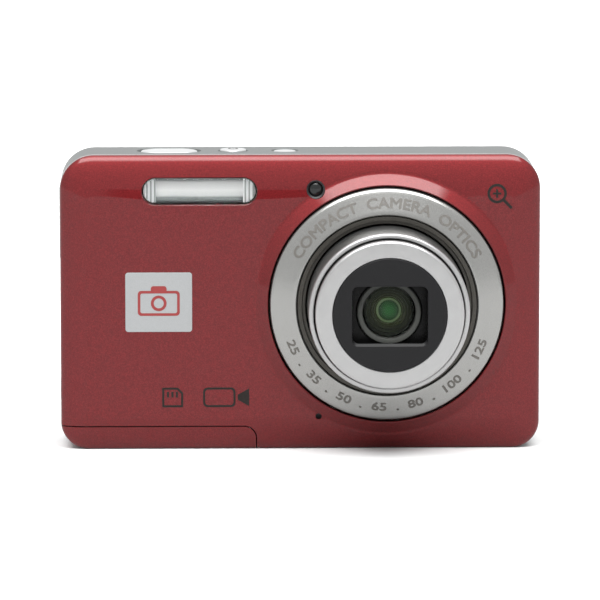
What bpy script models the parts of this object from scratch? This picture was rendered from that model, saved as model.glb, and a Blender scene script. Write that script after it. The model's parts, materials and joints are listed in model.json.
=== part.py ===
"""Compact digital camera with an extending zoom lens, one object per sub-part.

The front faces -Y, +X is to the right of someone looking at the lens, and +Z is up.
The origin is on the flat base, under the middle of the body. Numbers are in millimetres
until they become vertices, which are in metres.
"""
import math

import bmesh
import bpy
from mathutils import Matrix, Vector

MM = 0.001

# Body
WIDTH = 91.5
HEIGHT = 56.5
FRONT = -9.5
REAR = 9.5
SEAM = -6.3
TOP_RADIUS = 6.5
BASE_RADIUS = 5.3
WALL = 1.2
REAR_WALL = 1.5
GAP = 0.3
BEYOND = 5.0
CORNER_STEPS = 5
HALF = WIDTH / 2

# Seam: a tongue of the rear shell stands inside the front shell
TONGUE_OUTER = 1.8
TONGUE_INNER = 2.6
TONGUE_TAPER = 0.1
TONGUE_TIP_Y = -7.0
TONGUE_ROOT_Y = -4.5
WALL_START_Y = -4.0

# Front face: widths of the bands that curve back from the flat middle
SIDE_BAND = 5.3
TOP_BAND = 8.3
BASE_BAND = 6.3
BAND_DEPTH = 2.2
BAND_SLOPE = 0.5
FRONT_STEPS = (0.0, 0.08, 0.25, 0.5, 0.75, 1.0)
INNER_STEPS = (1.0, 0.6, 0.25, 0.0)
RIM_PUSH = 0.4

# Rear face
REAR_BAND = 3.6
REAR_BAND_DEPTH = 2.6
REAR_STEPS = (0.0, 0.12, 0.4, 1.0)
REAR_INNER_STEPS = (0.0, 0.3, 1.0)
REAR_PUSH = 0.6

# Lens, measured from its axis
LENS_X = 16.4
LENS_Z = 28.2
COLLAR_BORE = 21.0
COLLAR_RADIUS = 25.3
COLLAR_BACK_Y = -8.6
COLLAR_FOOT_Y = -9.45
COLLAR_CREST = 22.95
COLLAR_CREST_Y = -10.75
COLLAR_FOOT_EASE = (0.3, 0.12)
COLLAR_CREST_EASE = (0.25, 0.08)
RING_RADIUS = 22.3
RING_BORE = 17.1
RING_BACK_Y = -8.2
RING_EDGE_Y = -10.4
RING_FRONT_Y = -12.7
RING_CREST = 17.6
HOUSING_RADIUS = 18.3
HOUSING_BORE = 17.1
HOUSING_FLANGE = 21.4
HOUSING_FRONT_Y = -7.9
HOUSING_BACK_Y = 3.1
FLANGE_THICKNESS = 1.0
CAM_RADIUS = 16.8
CAM_BORE = 15.6
CAM_FRONT_Y = -12.9
CAM_BACK_Y = 2.6
OUTER_RADIUS = 15.2
OUTER_BORE = 14.3
OUTER_RIM_Y = -23.7
OUTER_LENGTH = 15.1
OUTER_CHAMFER = 0.4
INNER_RADIUS = 14.0
INNER_BORE = 13.1
INNER_FRONT_Y = -24.6
INNER_BACK_Y = -14.2
FRONT_RING_BORE = 11.0
FRONT_RING_Y = -26.0
FRONT_RING_BACK_Y = -24.9
FACE_Y = -26.3
FACE_THICKNESS = 1.3
PLATE_RADIUS = 10.7
WINDOW_WIDTH = 14.1
WINDOW_HEIGHT = 10.8
WINDOW_CORNER = 1.2
BLADE_MARGIN = 0.12
BLADE_Y = (-24.55, -24.2)
ROUND = 40
RING_STEPS = 48

# Glass and its holders
CELL_BORE = 5.0
CELL_RADIUS = 6.0
CELL_FRONT_Y = -22.3
CELL_FLANGE = 12.6
CELL_FLANGE_Y = (-21.2, -20.2)
CELL_TUBE = 7.0
CELL_BACK_Y = -15.0
FRONT_LENS = ((0, -21.8), (1.6, -21.7), (3.2, -21.35), (4.6, -20.8), (4.6, -20.1), (0, -20.1))
IRIS_RING = ((2.7, -19.3), (4.7, -19.6), (4.7, -18.2), (2.7, -18.2))
INNER_LENS = ((0, -19.1), (1.4, -19.0), (2.4, -18.7), (2.4, -18.2), (0, -18.2))
FOCUS_LENS = ((0, 0.5), (2.5, 0.6), (6.0, 0.9), (6.0, 1.9), (0, 1.9))
SENSOR_PLATE_Y = (3.4, 4.2)
LIGHT_PATH = (3.6, 2.8)
IMAGE_SENSOR = (4.6, 3.9)
IMAGE_SENSOR_Y = (4.5, 5.5)

# Battery door
DOOR_END = -8.5
DOOR_TOP = 4.45
DOOR_CORNER = 2.3
DOOR_PIN_Y = 5.0
DOOR_PIN_Z = 1.05
DOOR_EDGE_Y = 3.0
KNUCKLE_RADIUS = 1.0
KNUCKLES = ((-41.0, -35.0), (-19.0, -13.0))
KNUCKLE_TOP = 3.0
BOSS = (-34.4, -19.6)
BOSS_DEPTH = (3.6, 6.6)
BOSS_TOP = 2.4
PIN_RADIUS = 0.4
PIN_HOLE = 0.7
PIN_ENDS = (-41.6, -12.4)
LATCH_X = -24.0
LATCH_Y = -3.0
LATCH_SLOT = 4.3
LATCH_ENDS = (-3.8, 1.6)
LATCH_HALF = 1.5
LATCH_LEVELS = (0.15, 2.0)

# Top buttons: middle in X and half width
SHUTTER = (-24.95, 5.45)
POWER = (-12.7, 2.5)
SCENE = (-2.8, 2.2)
BUTTON_Y = 0.3
SHUTTER_DEPTH = 6.2
SHUTTER_FLANGE = 0.7
SHUTTER_LEVELS = (53.0, 53.9)
DISH_DEPTH = 0.5
TOP_HOLE_DEPTH = 3.0
BUTTON_FLANGE = 0.7

# Rear face pieces
LCD = (-16.5, 41.0, 5.5, 50.0)
PAD_X = -30.8
PAD_Z = 23.5
PAD_RADIUS = 8.0
SET_RADIUS = 3.3
REAR_BUTTONS = {
    "menu_button": (-37.2, 37.2),
    "play_button": (-24.4, 37.2),
    "info_button": (-37.2, 10.0),
    "delete_button": (-24.4, 10.0),
    "record_button": (-22.4, 46.6),
}
REAR_BUTTON_RADIUS = 2.2
ROCKER = (-39.0, -27.6, 44.4, 48.8)
ROCKER_CORNER = 2.15
CONTROL_GAP = 0.4
CONTROL_BACK_Y = 5.0
STATUS_LAMP = (-18.9, 40.5, 0.7)
LCD_GLASS_Y = (8.95, 9.9)
LCD_MODULE_Y = (6.6, 8.6)
LCD_MARGIN = 1.5

# Left side pieces
PORT = (-2.5, 5.5, 36.0, 50.0)
PORT_PROUD = 0.2
PORT_THICKNESS = 1.2
PORT_DEPTH = 2.4
PORT_HINGE = (0.25, 0.1)
LUG_Z = 10.4
LUG_HALF = (0.8, 1.8)
LUG_PLATE_X = (-43.9, -43.2)
LUG_PLATE_HALF = 3.2
LUG_EYE_X = (-45.4, -44.2)
LUG_EYE_HALF = 0.9
LUG_POCKET = (2.6, 2.7)
LUG_POCKET_DEPTH = 2.0

# Base and side screws: point on the surface and inward direction
SCREWS = (
    ((-4.4, 5.0, 0.0), (0, 0, 1)),
    ((38.0, 2.0, 0.0), (0, 0, 1)),
    ((HALF, 1.5, 12.0), (-1, 0, 0)),
    ((HALF, 1.5, 44.0), (-1, 0, 0)),
    ((-HALF, 1.5, 22.0), (1, 0, 0)),
)
SCREW_HEAD = 1.3
SCREW_SHANK = 0.8
SCREW_SINK = 0.15
SCREW_HEAD_END = 1.1
SCREW_LENGTH = 2.5
SCREW_POCKET = 2.4
TRIPOD_X = 20.0
TRIPOD_Y = 1.0
TRIPOD_RADIUS = 4.6
TRIPOD_BORE = 3.2
TRIPOD_DEPTH = 5.5
TRIPOD_FLOOR = 0.7

# Flash, lamp, microphone and badge
FLASH = (-19.2, 49.8, 21.4, 4.7)
FLASH_WINDOW_Y = (-9.35, -8.2)
REFLECTOR_HALF = 2.4
REFLECTOR_ARC = 1.9
REFLECTOR_Y = (-7.9, -7.2, -4.7)
REFLECTOR_MARGIN = 0.9
TUBE_RADIUS = 0.8
TUBE_MARGIN = 1.6
LAMP = (2.9, 50.05, 1.7)
LAMP_Y = -8.6
MICROPHONE = (3.45, 6.45, 0.6)
MICROPHONE_RADIUS = 1.5
MICROPHONE_Y = (-7.6, -6.2)
BADGE = (-33.35, -20.65, 22.85, 34.25)
BADGE_PROUD = 0.15
BADGE_SINK = 0.35

# Pieces inside the body: lowest and highest corners
HOLDER = ((-42.8, -7.6, 5.0), (-9.4, 3.2, 39.9))
BATTERY_BAY = ((-42.2, -7.1, 0), (-10.0, -0.6, 39.2))
CARD_SLOT = ((-38.2, 0.1, 0), (-13.4, 2.7, 36.0))
BATTERY = ((-41.8, -6.8, 3.2), (-10.4, -0.9, 38.8))
CONTACTS = ((-21.0, -5.6, 40.2), (-12.6, -2.4, 42.0))
CARD_OUTLINE = ((-37.9, 3.0), (-13.7, 3.0), (-13.7, 35.0), (-35.4, 35.0), (-37.9, 32.5))
CARD_Y = (0.4, 2.4)
CARD_SOCKET = ((-39.0, 3.5, 8.0), (-12.6, 4.5, 37.0))
BOARD_OUTLINE = ((-42.0, 6.5), (-4.0, 6.5), (-4.0, 47.2), (36.0, 47.2), (36.0, 52.4), (-42.0, 52.4))
BOARD_Y = (4.9, 5.8)
CAPACITOR = ((-37.8, 0.8, 46.4), (-14.5, 0.8, 46.4), 3.4)
MOTOR = ((37.3, -6.0, 9.6), (37.3, 3.0, 9.6), 3.0)
SPEAKER = ((-3.4, -1.5, 7.6), (-3.4, 1.5, 7.6), 4.2)
USB_SOCKET = ((-44.5, 0.0, 41.4), (-38.6, 3.0, 48.9))
USB_MOUTH = ((-46, 0.6, 42.2), (-40, 2.4, 48.1))

COLOURS = {
    "red_metal": ((0.34, 0.035, 0.045), 0.32, 0.75),
    "grey_metal": ((0.36, 0.38, 0.38), 0.4, 0.7),
    "silver": ((0.62, 0.62, 0.60), 0.3, 0.9),
    "satin_silver": ((0.56, 0.56, 0.54), 0.35, 0.9),
    "dark_metal": ((0.05, 0.048, 0.045), 0.4, 0.5),
    "black": ((0.012, 0.012, 0.013), 0.45, 0.0),
    "glass": ((0.03, 0.04, 0.035), 0.05, 0.0),
    "clear": ((0.8, 0.84, 0.84), 0.1, 0.0),
    "badge": ((0.64, 0.66, 0.67), 0.45, 0.3),
    "board": ((0.02, 0.12, 0.06), 0.5, 0.0),
    "steel": ((0.5, 0.5, 0.5), 0.3, 1.0),
    "battery": ((0.05, 0.06, 0.07), 0.5, 0.0),
    "card": ((0.03, 0.05, 0.12), 0.5, 0.0),
    "white": ((0.75, 0.77, 0.77), 0.3, 0.0),
    "brass": ((0.5, 0.37, 0.13), 0.35, 1.0),
}


def clear_scene():
    """Remove whatever the file holds."""
    for item in list(bpy.data.objects):
        bpy.data.objects.remove(item, do_unlink=True)


def material(name):
    """Principled material from the table of colours, made once."""
    found = bpy.data.materials.get(name)
    if found:
        return found
    colour, roughness, metallic = COLOURS[name]
    made = bpy.data.materials.new(name)
    made.use_nodes = True
    shader = made.node_tree.nodes["Principled BSDF"]
    shader.inputs["Base Color"].default_value = (*colour, 1.0)
    shader.inputs["Roughness"].default_value = roughness
    shader.inputs["Metallic"].default_value = metallic
    return made


def add_object(name, bm, look=None, smooth=False):
    """Put a bmesh in the scene; without a look it is a hidden cutter."""
    bmesh.ops.remove_doubles(bm, verts=bm.verts, dist=1e-7)
    bmesh.ops.recalc_face_normals(bm, faces=bm.faces)
    mesh = bpy.data.meshes.new(name)
    bm.to_mesh(mesh)
    bm.free()
    item = bpy.data.objects.new(name, mesh)
    bpy.context.scene.collection.objects.link(item)
    if look:
        mesh.materials.append(material(look))
    else:
        item.hide_render = True
        item.display_type = "WIRE"
    if smooth:
        mesh.shade_smooth()
        mesh.set_sharp_from_angle(angle=math.radians(35))
    return item


def set_origin(item, point):
    """Move an object's origin to a point in millimetres and leave its shape where it is."""
    shift = Vector(point) * MM
    item.data.transform(Matrix.Translation(-shift))
    item.location = shift


def combine(target, tool, operation):
    """Boolean of a target with a hidden tool object."""
    modifier = target.modifiers.new(tool.name, "BOOLEAN")
    modifier.operation = operation
    modifier.object = tool
    modifier.solver = "EXACT"


def cut(target, *tools):
    for tool in tools:
        combine(target, tool, "DIFFERENCE")


def weld(target, *tools):
    for tool in tools:
        combine(target, tool, "UNION")


def loft(name, sections, look=None, smooth=False):
    """Closed solid through sections of equal point count, capped at both ends."""
    bm = bmesh.new()
    rings = [[bm.verts.new(Vector(p) * MM) for p in section] for section in sections]
    for low, high in zip(rings, rings[1:]):
        for i in range(len(low)):
            j = (i + 1) % len(low)
            bm.faces.new((low[i], low[j], high[j], high[i]))
    bm.faces.new(rings[0])
    bm.faces.new(rings[-1])
    return add_object(name, bm, look, smooth)


def box(name, low, high, look=None, bevel=0.0):
    """Box between two corners with optional bevelled edges."""
    bm = bmesh.new()
    size = Vector(high) - Vector(low)
    middle = (Vector(high) + Vector(low)) / 2
    place = Matrix.Translation(middle * MM) @ Matrix.Diagonal((*(size * MM), 1.0))
    bmesh.ops.create_cube(bm, size=1.0, matrix=place)
    if bevel:
        bmesh.ops.bevel(bm, geom=bm.edges[:], offset=bevel * MM, segments=1, affect="EDGES")
    return add_object(name, bm, look)


def turn(name, profile, middle, axis, look=None, segments=ROUND):
    """Turned solid: a closed profile of (radius, distance along axis) spun once round the axis."""
    bm = bmesh.new()
    axis = Vector(axis).normalized()
    side = axis.orthogonal().normalized()
    origin = Vector(middle)
    points = [bm.verts.new((origin + side * r + axis * t) * MM) for r, t in profile]
    edges = []
    for i, start in enumerate(points):
        j = (i + 1) % len(points)
        if profile[i][0] or profile[j][0]:
            edges.append(bm.edges.new((start, points[j])))
    bmesh.ops.spin(bm, geom=points + edges, cent=origin * MM, axis=axis, angle=math.tau,
                   steps=segments, use_merge=True)
    return add_object(name, bm, look, smooth=True)


def lens_turn(name, profile, look=None, segments=ROUND):
    """Turned solid on the lens axis; the profile's distances are plain Y values."""
    return turn(name, profile, (LENS_X, 0, LENS_Z), (0, 1, 0), look, segments)


def cylinder(name, start, end, radius, look=None, segments=24):
    """Solid cylinder between two points."""
    along = Vector(end) - Vector(start)
    profile = [(0, 0), (radius, 0), (radius, along.length), (0, along.length)]
    return turn(name, profile, start, along, look, segments)


def rounded(x0, x1, z0, z1, base_radius, top_radius=None, steps=CORNER_STEPS):
    """Rounded rectangle as (x, z) points, anticlockwise from the lower right corner."""
    top_radius = base_radius if top_radius is None else top_radius
    corners = (
        (x1 - base_radius, z0 + base_radius, base_radius, -90),
        (x1 - top_radius, z1 - top_radius, top_radius, 0),
        (x0 + top_radius, z1 - top_radius, top_radius, 90),
        (x0 + base_radius, z0 + base_radius, base_radius, 180),
    )
    points = []
    for cx, cz, radius, start in corners:
        for step in range(steps + 1):
            angle = math.radians(start + 90 * step / steps)
            points.append((cx + radius * math.cos(angle), cz + radius * math.sin(angle)))
    return points


def plate(name, outline, y0, y1, look=None, smooth=False):
    """Prism of an (x, z) outline between two Y values."""
    return loft(name, [[(x, y, z) for x, z in outline] for y in (y0, y1)], look, smooth)


def stadium(middle_x, middle_z, width, height, steps=8):
    radius = height / 2
    return rounded(middle_x - width / 2, middle_x + width / 2, middle_z - radius,
                   middle_z + radius, radius, steps=steps)


def body_section(y, side, top, base, offset=0.0):
    """Outline of the body at a depth, drawn in by the three band insets and an offset."""
    base_radius = max(BASE_RADIUS - min(side, base) - offset, 0.5)
    top_radius = max(TOP_RADIUS - min(side, top) - offset, 0.5)
    points = rounded(side + offset - HALF, HALF - side - offset, base + offset,
                     HEIGHT - top - offset, base_radius, top_radius)
    return [(x, y, z) for x, z in points]


def front_section(t, offset=0.0, push=0.0):
    """Ring on the front surface: t is 1 at the flat middle and 0 at the body's side."""
    curve = 1 - math.sqrt(1 - (1 - t) ** 2)
    y = FRONT + BAND_SLOPE * (1 - t) + (BAND_DEPTH - BAND_SLOPE) * curve + push
    return body_section(y, t * SIDE_BAND, t * TOP_BAND, t * BASE_BAND, offset)


def rear_section(t, offset=0.0, push=0.0):
    """Ring on the rear surface, in the same way."""
    curve = 1 - math.sqrt(1 - (1 - t) ** 2)
    y = REAR - REAR_BAND_DEPTH * curve - push
    inset = t * REAR_BAND
    return body_section(y, inset, inset, inset, offset)


def front_shell(name, back, look):
    """Tray with the body's front surface and an even wall, open at the back."""
    inner = [front_section(t, WALL * (1 - t), WALL * t + RIM_PUSH * (1 - t)) for t in INNER_STEPS]
    rim = [body_section(back, 0, 0, 0, WALL), body_section(back, 0, 0, 0)]
    outer = [front_section(t) for t in FRONT_STEPS]
    return loft(name, inner + rim + outer, look)


def make_door_space(name, gap):
    """Prism that holds the battery door, grown by a gap on its inner edges."""
    right = DOOR_END + gap
    top = DOOR_TOP + gap
    radius = DOOR_CORNER + gap
    outline = [(-HALF - BEYOND, -BEYOND), (right, -BEYOND)]
    for step in range(CORNER_STEPS + 2):
        angle = math.radians(90 * step / (CORNER_STEPS + 1))
        outline.append((right - radius + radius * math.cos(angle),
                        top - radius + radius * math.sin(angle)))
    outline.append((-HALF - BEYOND, top))
    return plate(name, outline, FRONT - BEYOND, DOOR_EDGE_Y + gap)


def front_hole(name, x, z, radius, segments=24):
    """Cutter for a round hole through the front wall."""
    return cylinder(name, (x, FRONT - BEYOND, z), (x, FRONT + BEYOND, z), radius, segments=segments)


def rear_hole(name, x, z, radius, segments=20):
    """Cutter for a round hole through the back wall."""
    return cylinder(name, (x, CONTROL_BACK_Y, z), (x, REAR + BEYOND, z), radius, segments=segments)


def make_front_cover():
    cover = front_shell("front_cover", SEAM, "red_metal")
    collar = lens_turn("collar_form", [
        (COLLAR_BORE, COLLAR_BACK_Y), (COLLAR_RADIUS, COLLAR_BACK_Y), (COLLAR_RADIUS, COLLAR_FOOT_Y),
        (COLLAR_RADIUS - COLLAR_FOOT_EASE[0], COLLAR_FOOT_Y - COLLAR_FOOT_EASE[1]),
        (COLLAR_CREST + COLLAR_CREST_EASE[0], COLLAR_CREST_Y + COLLAR_CREST_EASE[1]),
        (COLLAR_CREST, COLLAR_CREST_Y), (COLLAR_BORE, COLLAR_CREST_Y)], segments=RING_STEPS)
    front = FRONT - BEYOND
    back = FRONT + BEYOND
    bore_radius = RING_RADIUS + GAP
    bore = lens_turn("lens_bore", [(0, front), (bore_radius, front), (bore_radius, back), (0, back)],
                     segments=RING_STEPS)
    weld(cover, collar)
    x, z, width, height = FLASH
    flash = plate("flash_hole", stadium(x, z, width + 2 * GAP, height + 2 * GAP), front, back)
    lamp = front_hole("lamp_hole", LAMP[0], LAMP[1], LAMP[2] + GAP)
    sound = front_hole("sound_hole", *MICROPHONE, segments=16)
    x0, x1, z0, z1 = BADGE
    badge = plate("badge_pocket", rounded(x0 - GAP, x1 + GAP, z0 - GAP, z1 + GAP, 0.8, steps=3),
                  front, FRONT + BADGE_SINK + GAP)
    cut(cover, bore, flash, lamp, sound, badge, make_door_space("front_door_space", GAP))


def make_rear_cover():
    outer = [rear_section(t) for t in reversed(REAR_STEPS)]
    lip = [body_section(SEAM + GAP, 0, 0, 0), body_section(SEAM + GAP, 0, 0, 0, TONGUE_OUTER),
           body_section(TONGUE_TIP_Y, 0, 0, 0, TONGUE_OUTER + TONGUE_TAPER),
           body_section(TONGUE_TIP_Y, 0, 0, 0, TONGUE_INNER),
           body_section(TONGUE_ROOT_Y, 0, 0, 0, TONGUE_INNER),
           body_section(WALL_START_Y, 0, 0, 0, REAR_WALL)]
    inner = [rear_section(t, REAR_WALL * (1 - t), REAR_PUSH + REAR_PUSH * t) for t in REAR_INNER_STEPS]
    cover = loft("rear_cover", outer + lip + inner, "grey_metal")
    weld(cover, box("hinge_boss", (BOSS[0], BOSS_DEPTH[0], 0.1), (BOSS[1], BOSS_DEPTH[1], BOSS_TOP)))
    cut(cover, *hinge_holes(), *rear_face_holes(), *top_button_holes(), *side_holes(), *fixing_holes())


def hinge_holes():
    """Cutters for the battery door, its knuckles and its pin."""
    holes = [make_door_space("rear_door_space", GAP), pin_bore("pin_bore")]
    for number, (start, end) in enumerate(KNUCKLES):
        holes.append(box(f"knuckle_space_{number}", (start - GAP, 0, -BEYOND),
                         (end + GAP, DOOR_PIN_Y + KNUCKLE_RADIUS + 0.8, KNUCKLE_TOP)))
    return holes


def pin_bore(name):
    """Cutter along the hinge axis, a little longer than the pin."""
    ends = (PIN_ENDS[0] - BEYOND, PIN_ENDS[1] + BEYOND)
    start, end = ((x, DOOR_PIN_Y, DOOR_PIN_Z) for x in ends)
    return cylinder(name, start, end, PIN_HOLE, segments=12)


def rear_face_holes():
    x0, x1, z0, z1 = LCD
    back = REAR + BEYOND
    holes = [plate("lcd_hole", rounded(x0 - GAP, x1 + GAP, z0 - GAP, z1 + GAP, 1.8, steps=3),
                   CONTROL_BACK_Y, back)]
    holes.append(rear_hole("pad_hole", PAD_X, PAD_Z, PAD_RADIUS + CONTROL_GAP, 40))
    for name, (x, z) in REAR_BUTTONS.items():
        holes.append(rear_hole(name + "_hole", x, z, REAR_BUTTON_RADIUS + GAP))
    x0, x1, z0, z1 = ROCKER
    grow = CONTROL_GAP
    holes.append(plate("rocker_hole", rounded(x0 - grow, x1 + grow, z0 - grow, z1 + grow,
                                              ROCKER_CORNER + grow, steps=5), CONTROL_BACK_Y, back))
    x, z, radius = STATUS_LAMP
    holes.append(rear_hole("led_hole", x, z, radius + GAP, 12))
    return holes


def fixing_holes():
    holes = []
    for number, (point, inward) in enumerate(SCREWS):
        start = Vector(point) - Vector(inward) * 2
        end = Vector(point) + Vector(inward) * SCREW_POCKET
        holes.append(cylinder(f"screw_hole_{number}", start, end, SCREW_HEAD + GAP, segments=16))
    holes.append(cylinder("tripod_hole", (TRIPOD_X, TRIPOD_Y, -BEYOND), (TRIPOD_X, TRIPOD_Y, BEYOND),
                          TRIPOD_RADIUS + GAP, segments=32))
    return holes


def level_outline(middle_x, middle_y, width, depth, z, steps=6):
    """Stadium in a level plane."""
    return [(x, y, z) for x, y in stadium(middle_x, middle_y, width, depth, steps)]


def top_button_holes():
    holes = []
    x, half = SHUTTER
    wide = 2 * half + 2 * GAP
    deep = SHUTTER_DEPTH + 2 * GAP
    recess = [level_outline(x, BUTTON_Y, wide + 1.2, deep + 0.6, HEIGHT - DISH_DEPTH),
              level_outline(x, BUTTON_Y, wide + 2.6, deep + 2.0, HEIGHT + 1)]
    hole = [level_outline(x, BUTTON_Y, wide, deep, z) for z in (HEIGHT - TOP_HOLE_DEPTH, HEIGHT + 1)]
    holes.append(loft("shutter_recess", recess))
    holes.append(loft("shutter_hole", hole))
    for name, (middle, radius) in (("power", POWER), ("scene", SCENE)):
        holes.append(cylinder(name + "_hole", (middle, BUTTON_Y, HEIGHT - TOP_HOLE_DEPTH),
                              (middle, BUTTON_Y, HEIGHT + BEYOND), radius + GAP, segments=24))
    return holes


def side_holes():
    y0, y1, z0, z1 = PORT
    outside = -HALF - BEYOND
    port = box("port_hole", (outside, y0 - GAP, z0 - GAP), (-HALF + PORT_DEPTH, y1 + GAP, z1 + GAP))
    deep, tall = LUG_POCKET
    lug = box("lug_hole", (outside, -deep, LUG_Z - tall), (-HALF + LUG_POCKET_DEPTH, deep, LUG_Z + tall))
    return [port, lug]


def make_battery_door():
    door = front_shell("battery_door", DOOR_EDGE_Y + 2, "red_metal")
    combine(door, make_door_space("door_form", 0.0), "INTERSECT")
    for number, (start, end) in enumerate(KNUCKLES):
        arm = box(f"knuckle_arm_{number}", (start, DOOR_EDGE_Y - 1.2, 0.06), (end, DOOR_PIN_Y, 1.15))
        knuckle = cylinder(f"knuckle_{number}", (start, DOOR_PIN_Y, DOOR_PIN_Z),
                           (end, DOOR_PIN_Y, DOOR_PIN_Z), KNUCKLE_RADIUS, segments=16)
        weld(door, arm, knuckle)
    half = LATCH_HALF + GAP
    slot = box("latch_slot", (LATCH_X - LATCH_SLOT, LATCH_Y - half, -1),
               (LATCH_X + LATCH_SLOT, LATCH_Y + half, 2.4))
    cut(door, pin_bore("door_bore"), slot)
    set_origin(door, (LATCH_X, DOOR_PIN_Y, DOOR_PIN_Z))
    low, high = LATCH_LEVELS
    latch = box("door_latch", (LATCH_X + LATCH_ENDS[0], LATCH_Y - LATCH_HALF, low),
                (LATCH_X + LATCH_ENDS[1], LATCH_Y + LATCH_HALF, high), "dark_metal", bevel=0.2)
    set_origin(latch, (LATCH_X, LATCH_Y, low))
    start, end = ((x, DOOR_PIN_Y, DOOR_PIN_Z) for x in PIN_ENDS)
    cylinder("hinge_pin", start, end, PIN_RADIUS, "steel", 10)


def lens_tube(name, bore, radius, front, back, look, chamfer=0.0):
    """Plain tube on the lens axis with an optional chamfer on its front outer edge."""
    profile = [(bore, front), (radius - chamfer, front)]
    if chamfer:
        profile.append((radius, front + chamfer))
    profile += [(radius, back), (bore, back)]
    return lens_turn(name, profile, look)


def make_lens():
    lens_turn("lens_ring", [(RING_RADIUS, RING_BACK_Y), (RING_RADIUS, RING_EDGE_Y),
                            (RING_RADIUS - 0.4, RING_EDGE_Y - 0.25), (RING_CREST, RING_FRONT_Y),
                            (RING_BORE, RING_FRONT_Y + 0.3), (RING_BORE, RING_BACK_Y)],
              "satin_silver", RING_STEPS)
    lens_turn("lens_housing", [
        (HOUSING_BORE, HOUSING_FRONT_Y), (HOUSING_FLANGE, HOUSING_FRONT_Y),
        (HOUSING_FLANGE, HOUSING_FRONT_Y + FLANGE_THICKNESS),
        (HOUSING_RADIUS, HOUSING_FRONT_Y + FLANGE_THICKNESS), (HOUSING_RADIUS, HOUSING_BACK_Y),
        (HOUSING_BORE, HOUSING_BACK_Y)], "black")
    near, far = SENSOR_PLATE_Y
    sensor = lens_turn("sensor_plate", [(0, near), (HOUSING_RADIUS, near), (HOUSING_RADIUS, far),
                                        (0, far)], "dark_metal")
    wide, tall = LIGHT_PATH
    cut(sensor, box("light_path", (LENS_X - wide, near - 1, LENS_Z - tall),
                    (LENS_X + wide, far + 1, LENS_Z + tall)))
    wide, tall = IMAGE_SENSOR
    near, far = IMAGE_SENSOR_Y
    box("image_sensor", (LENS_X - wide, near, LENS_Z - tall), (LENS_X + wide, far, LENS_Z + tall), "black")
    focus = lens_turn("focus_lens", FOCUS_LENS, "glass", 32)
    cam = lens_tube("cam_barrel", CAM_BORE, CAM_RADIUS, CAM_FRONT_Y, CAM_BACK_Y, "dark_metal")
    outer = lens_tube("outer_barrel", OUTER_BORE, OUTER_RADIUS, OUTER_RIM_Y, OUTER_RIM_Y + OUTER_LENGTH,
                      "silver", OUTER_CHAMFER)
    inner = lens_tube("inner_barrel", INNER_BORE, INNER_RADIUS, INNER_FRONT_Y, INNER_BACK_Y, "silver")
    ring = lens_turn("front_ring", [
        (FRONT_RING_BORE, FRONT_RING_BACK_Y), (FRONT_RING_BORE, FRONT_RING_Y),
        (INNER_RADIUS - 0.4, FRONT_RING_Y + 0.1), (INNER_RADIUS, FRONT_RING_Y + 0.5),
        (INNER_RADIUS, FRONT_RING_BACK_Y)], "silver")
    face = lens_turn("front_plate", [(0, FACE_Y), (PLATE_RADIUS - 0.2, FACE_Y), (PLATE_RADIUS, FACE_Y + 0.2),
                                     (PLATE_RADIUS, FACE_Y + FACE_THICKNESS),
                                     (0, FACE_Y + FACE_THICKNESS)], "black")
    half_w = WINDOW_WIDTH / 2
    half_h = WINDOW_HEIGHT / 2
    cut(face, plate("window_form", rounded(LENS_X - half_w, LENS_X + half_w, LENS_Z - half_h,
                                           LENS_Z + half_h, WINDOW_CORNER, steps=4),
                    FACE_Y - 1, FACE_Y + FACE_THICKNESS + 1))
    near, far = CELL_FLANGE_Y
    cell = lens_turn("lens_cell", [
        (CELL_BORE, CELL_FRONT_Y), (CELL_RADIUS, CELL_FRONT_Y), (CELL_RADIUS + 0.3, near),
        (CELL_FLANGE, near), (CELL_FLANGE, far), (CELL_TUBE, far), (CELL_TUBE, CELL_BACK_Y),
        (CELL_BORE, CELL_BACK_Y)], "black")
    glass = lens_turn("front_lens", FRONT_LENS, "glass", 32)
    iris = lens_turn("iris_ring", IRIS_RING, "black", 32)
    eye = lens_turn("inner_lens", INNER_LENS, "glass", 32)
    for item in (cam, outer, inner, ring, face, cell, glass, iris, eye, focus):
        set_origin(item, (LENS_X, 0, LENS_Z))


def blade_outline(sign):
    """One barrier blade, open: a flat edge beside the window and an arc inside the barrel."""
    edge = WINDOW_HEIGHT / 2 + BLADE_MARGIN
    half = WINDOW_WIDTH / 2 + BLADE_MARGIN
    radius = INNER_BORE - GAP
    reach = math.asin(half / radius)
    points = [(-half, edge), (half, edge)]
    for step in range(9):
        angle = reach - 2 * reach * step / 8
        points.append((radius * math.sin(angle), radius * math.cos(angle)))
    return [(LENS_X + x, LENS_Z + sign * z) for x, z in points]


def make_blades():
    for name, sign in (("upper_blade", 1), ("lower_blade", -1)):
        blade = plate(name, blade_outline(sign), *BLADE_Y, "black")
        set_origin(blade, (LENS_X, sum(BLADE_Y) / 2, LENS_Z))


def make_flash():
    x, z, width, height = FLASH
    plate("flash_window", stadium(x, z, width, height), *FLASH_WINDOW_Y, "clear", smooth=True)
    front, focus, back = REFLECTOR_Y
    tall = REFLECTOR_HALF
    section = [(front, tall), (back, tall), (back, -tall), (front, -tall)]
    for step in range(9):
        angle = math.radians(-90 + 180 * step / 8)
        section.append((focus + REFLECTOR_ARC * math.cos(angle), REFLECTOR_ARC * math.sin(angle)))
    half = width / 2 - REFLECTOR_MARGIN
    ends = [[(x + side * half, y, z + h) for y, h in section] for side in (-1, 1)]
    loft("flash_reflector", ends, "silver")
    half = width / 2 - TUBE_MARGIN
    axis = focus + 0.2
    cylinder("flash_tube", (x - half, axis, z), (x + half, axis, z), TUBE_RADIUS, "white", 14)


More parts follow.
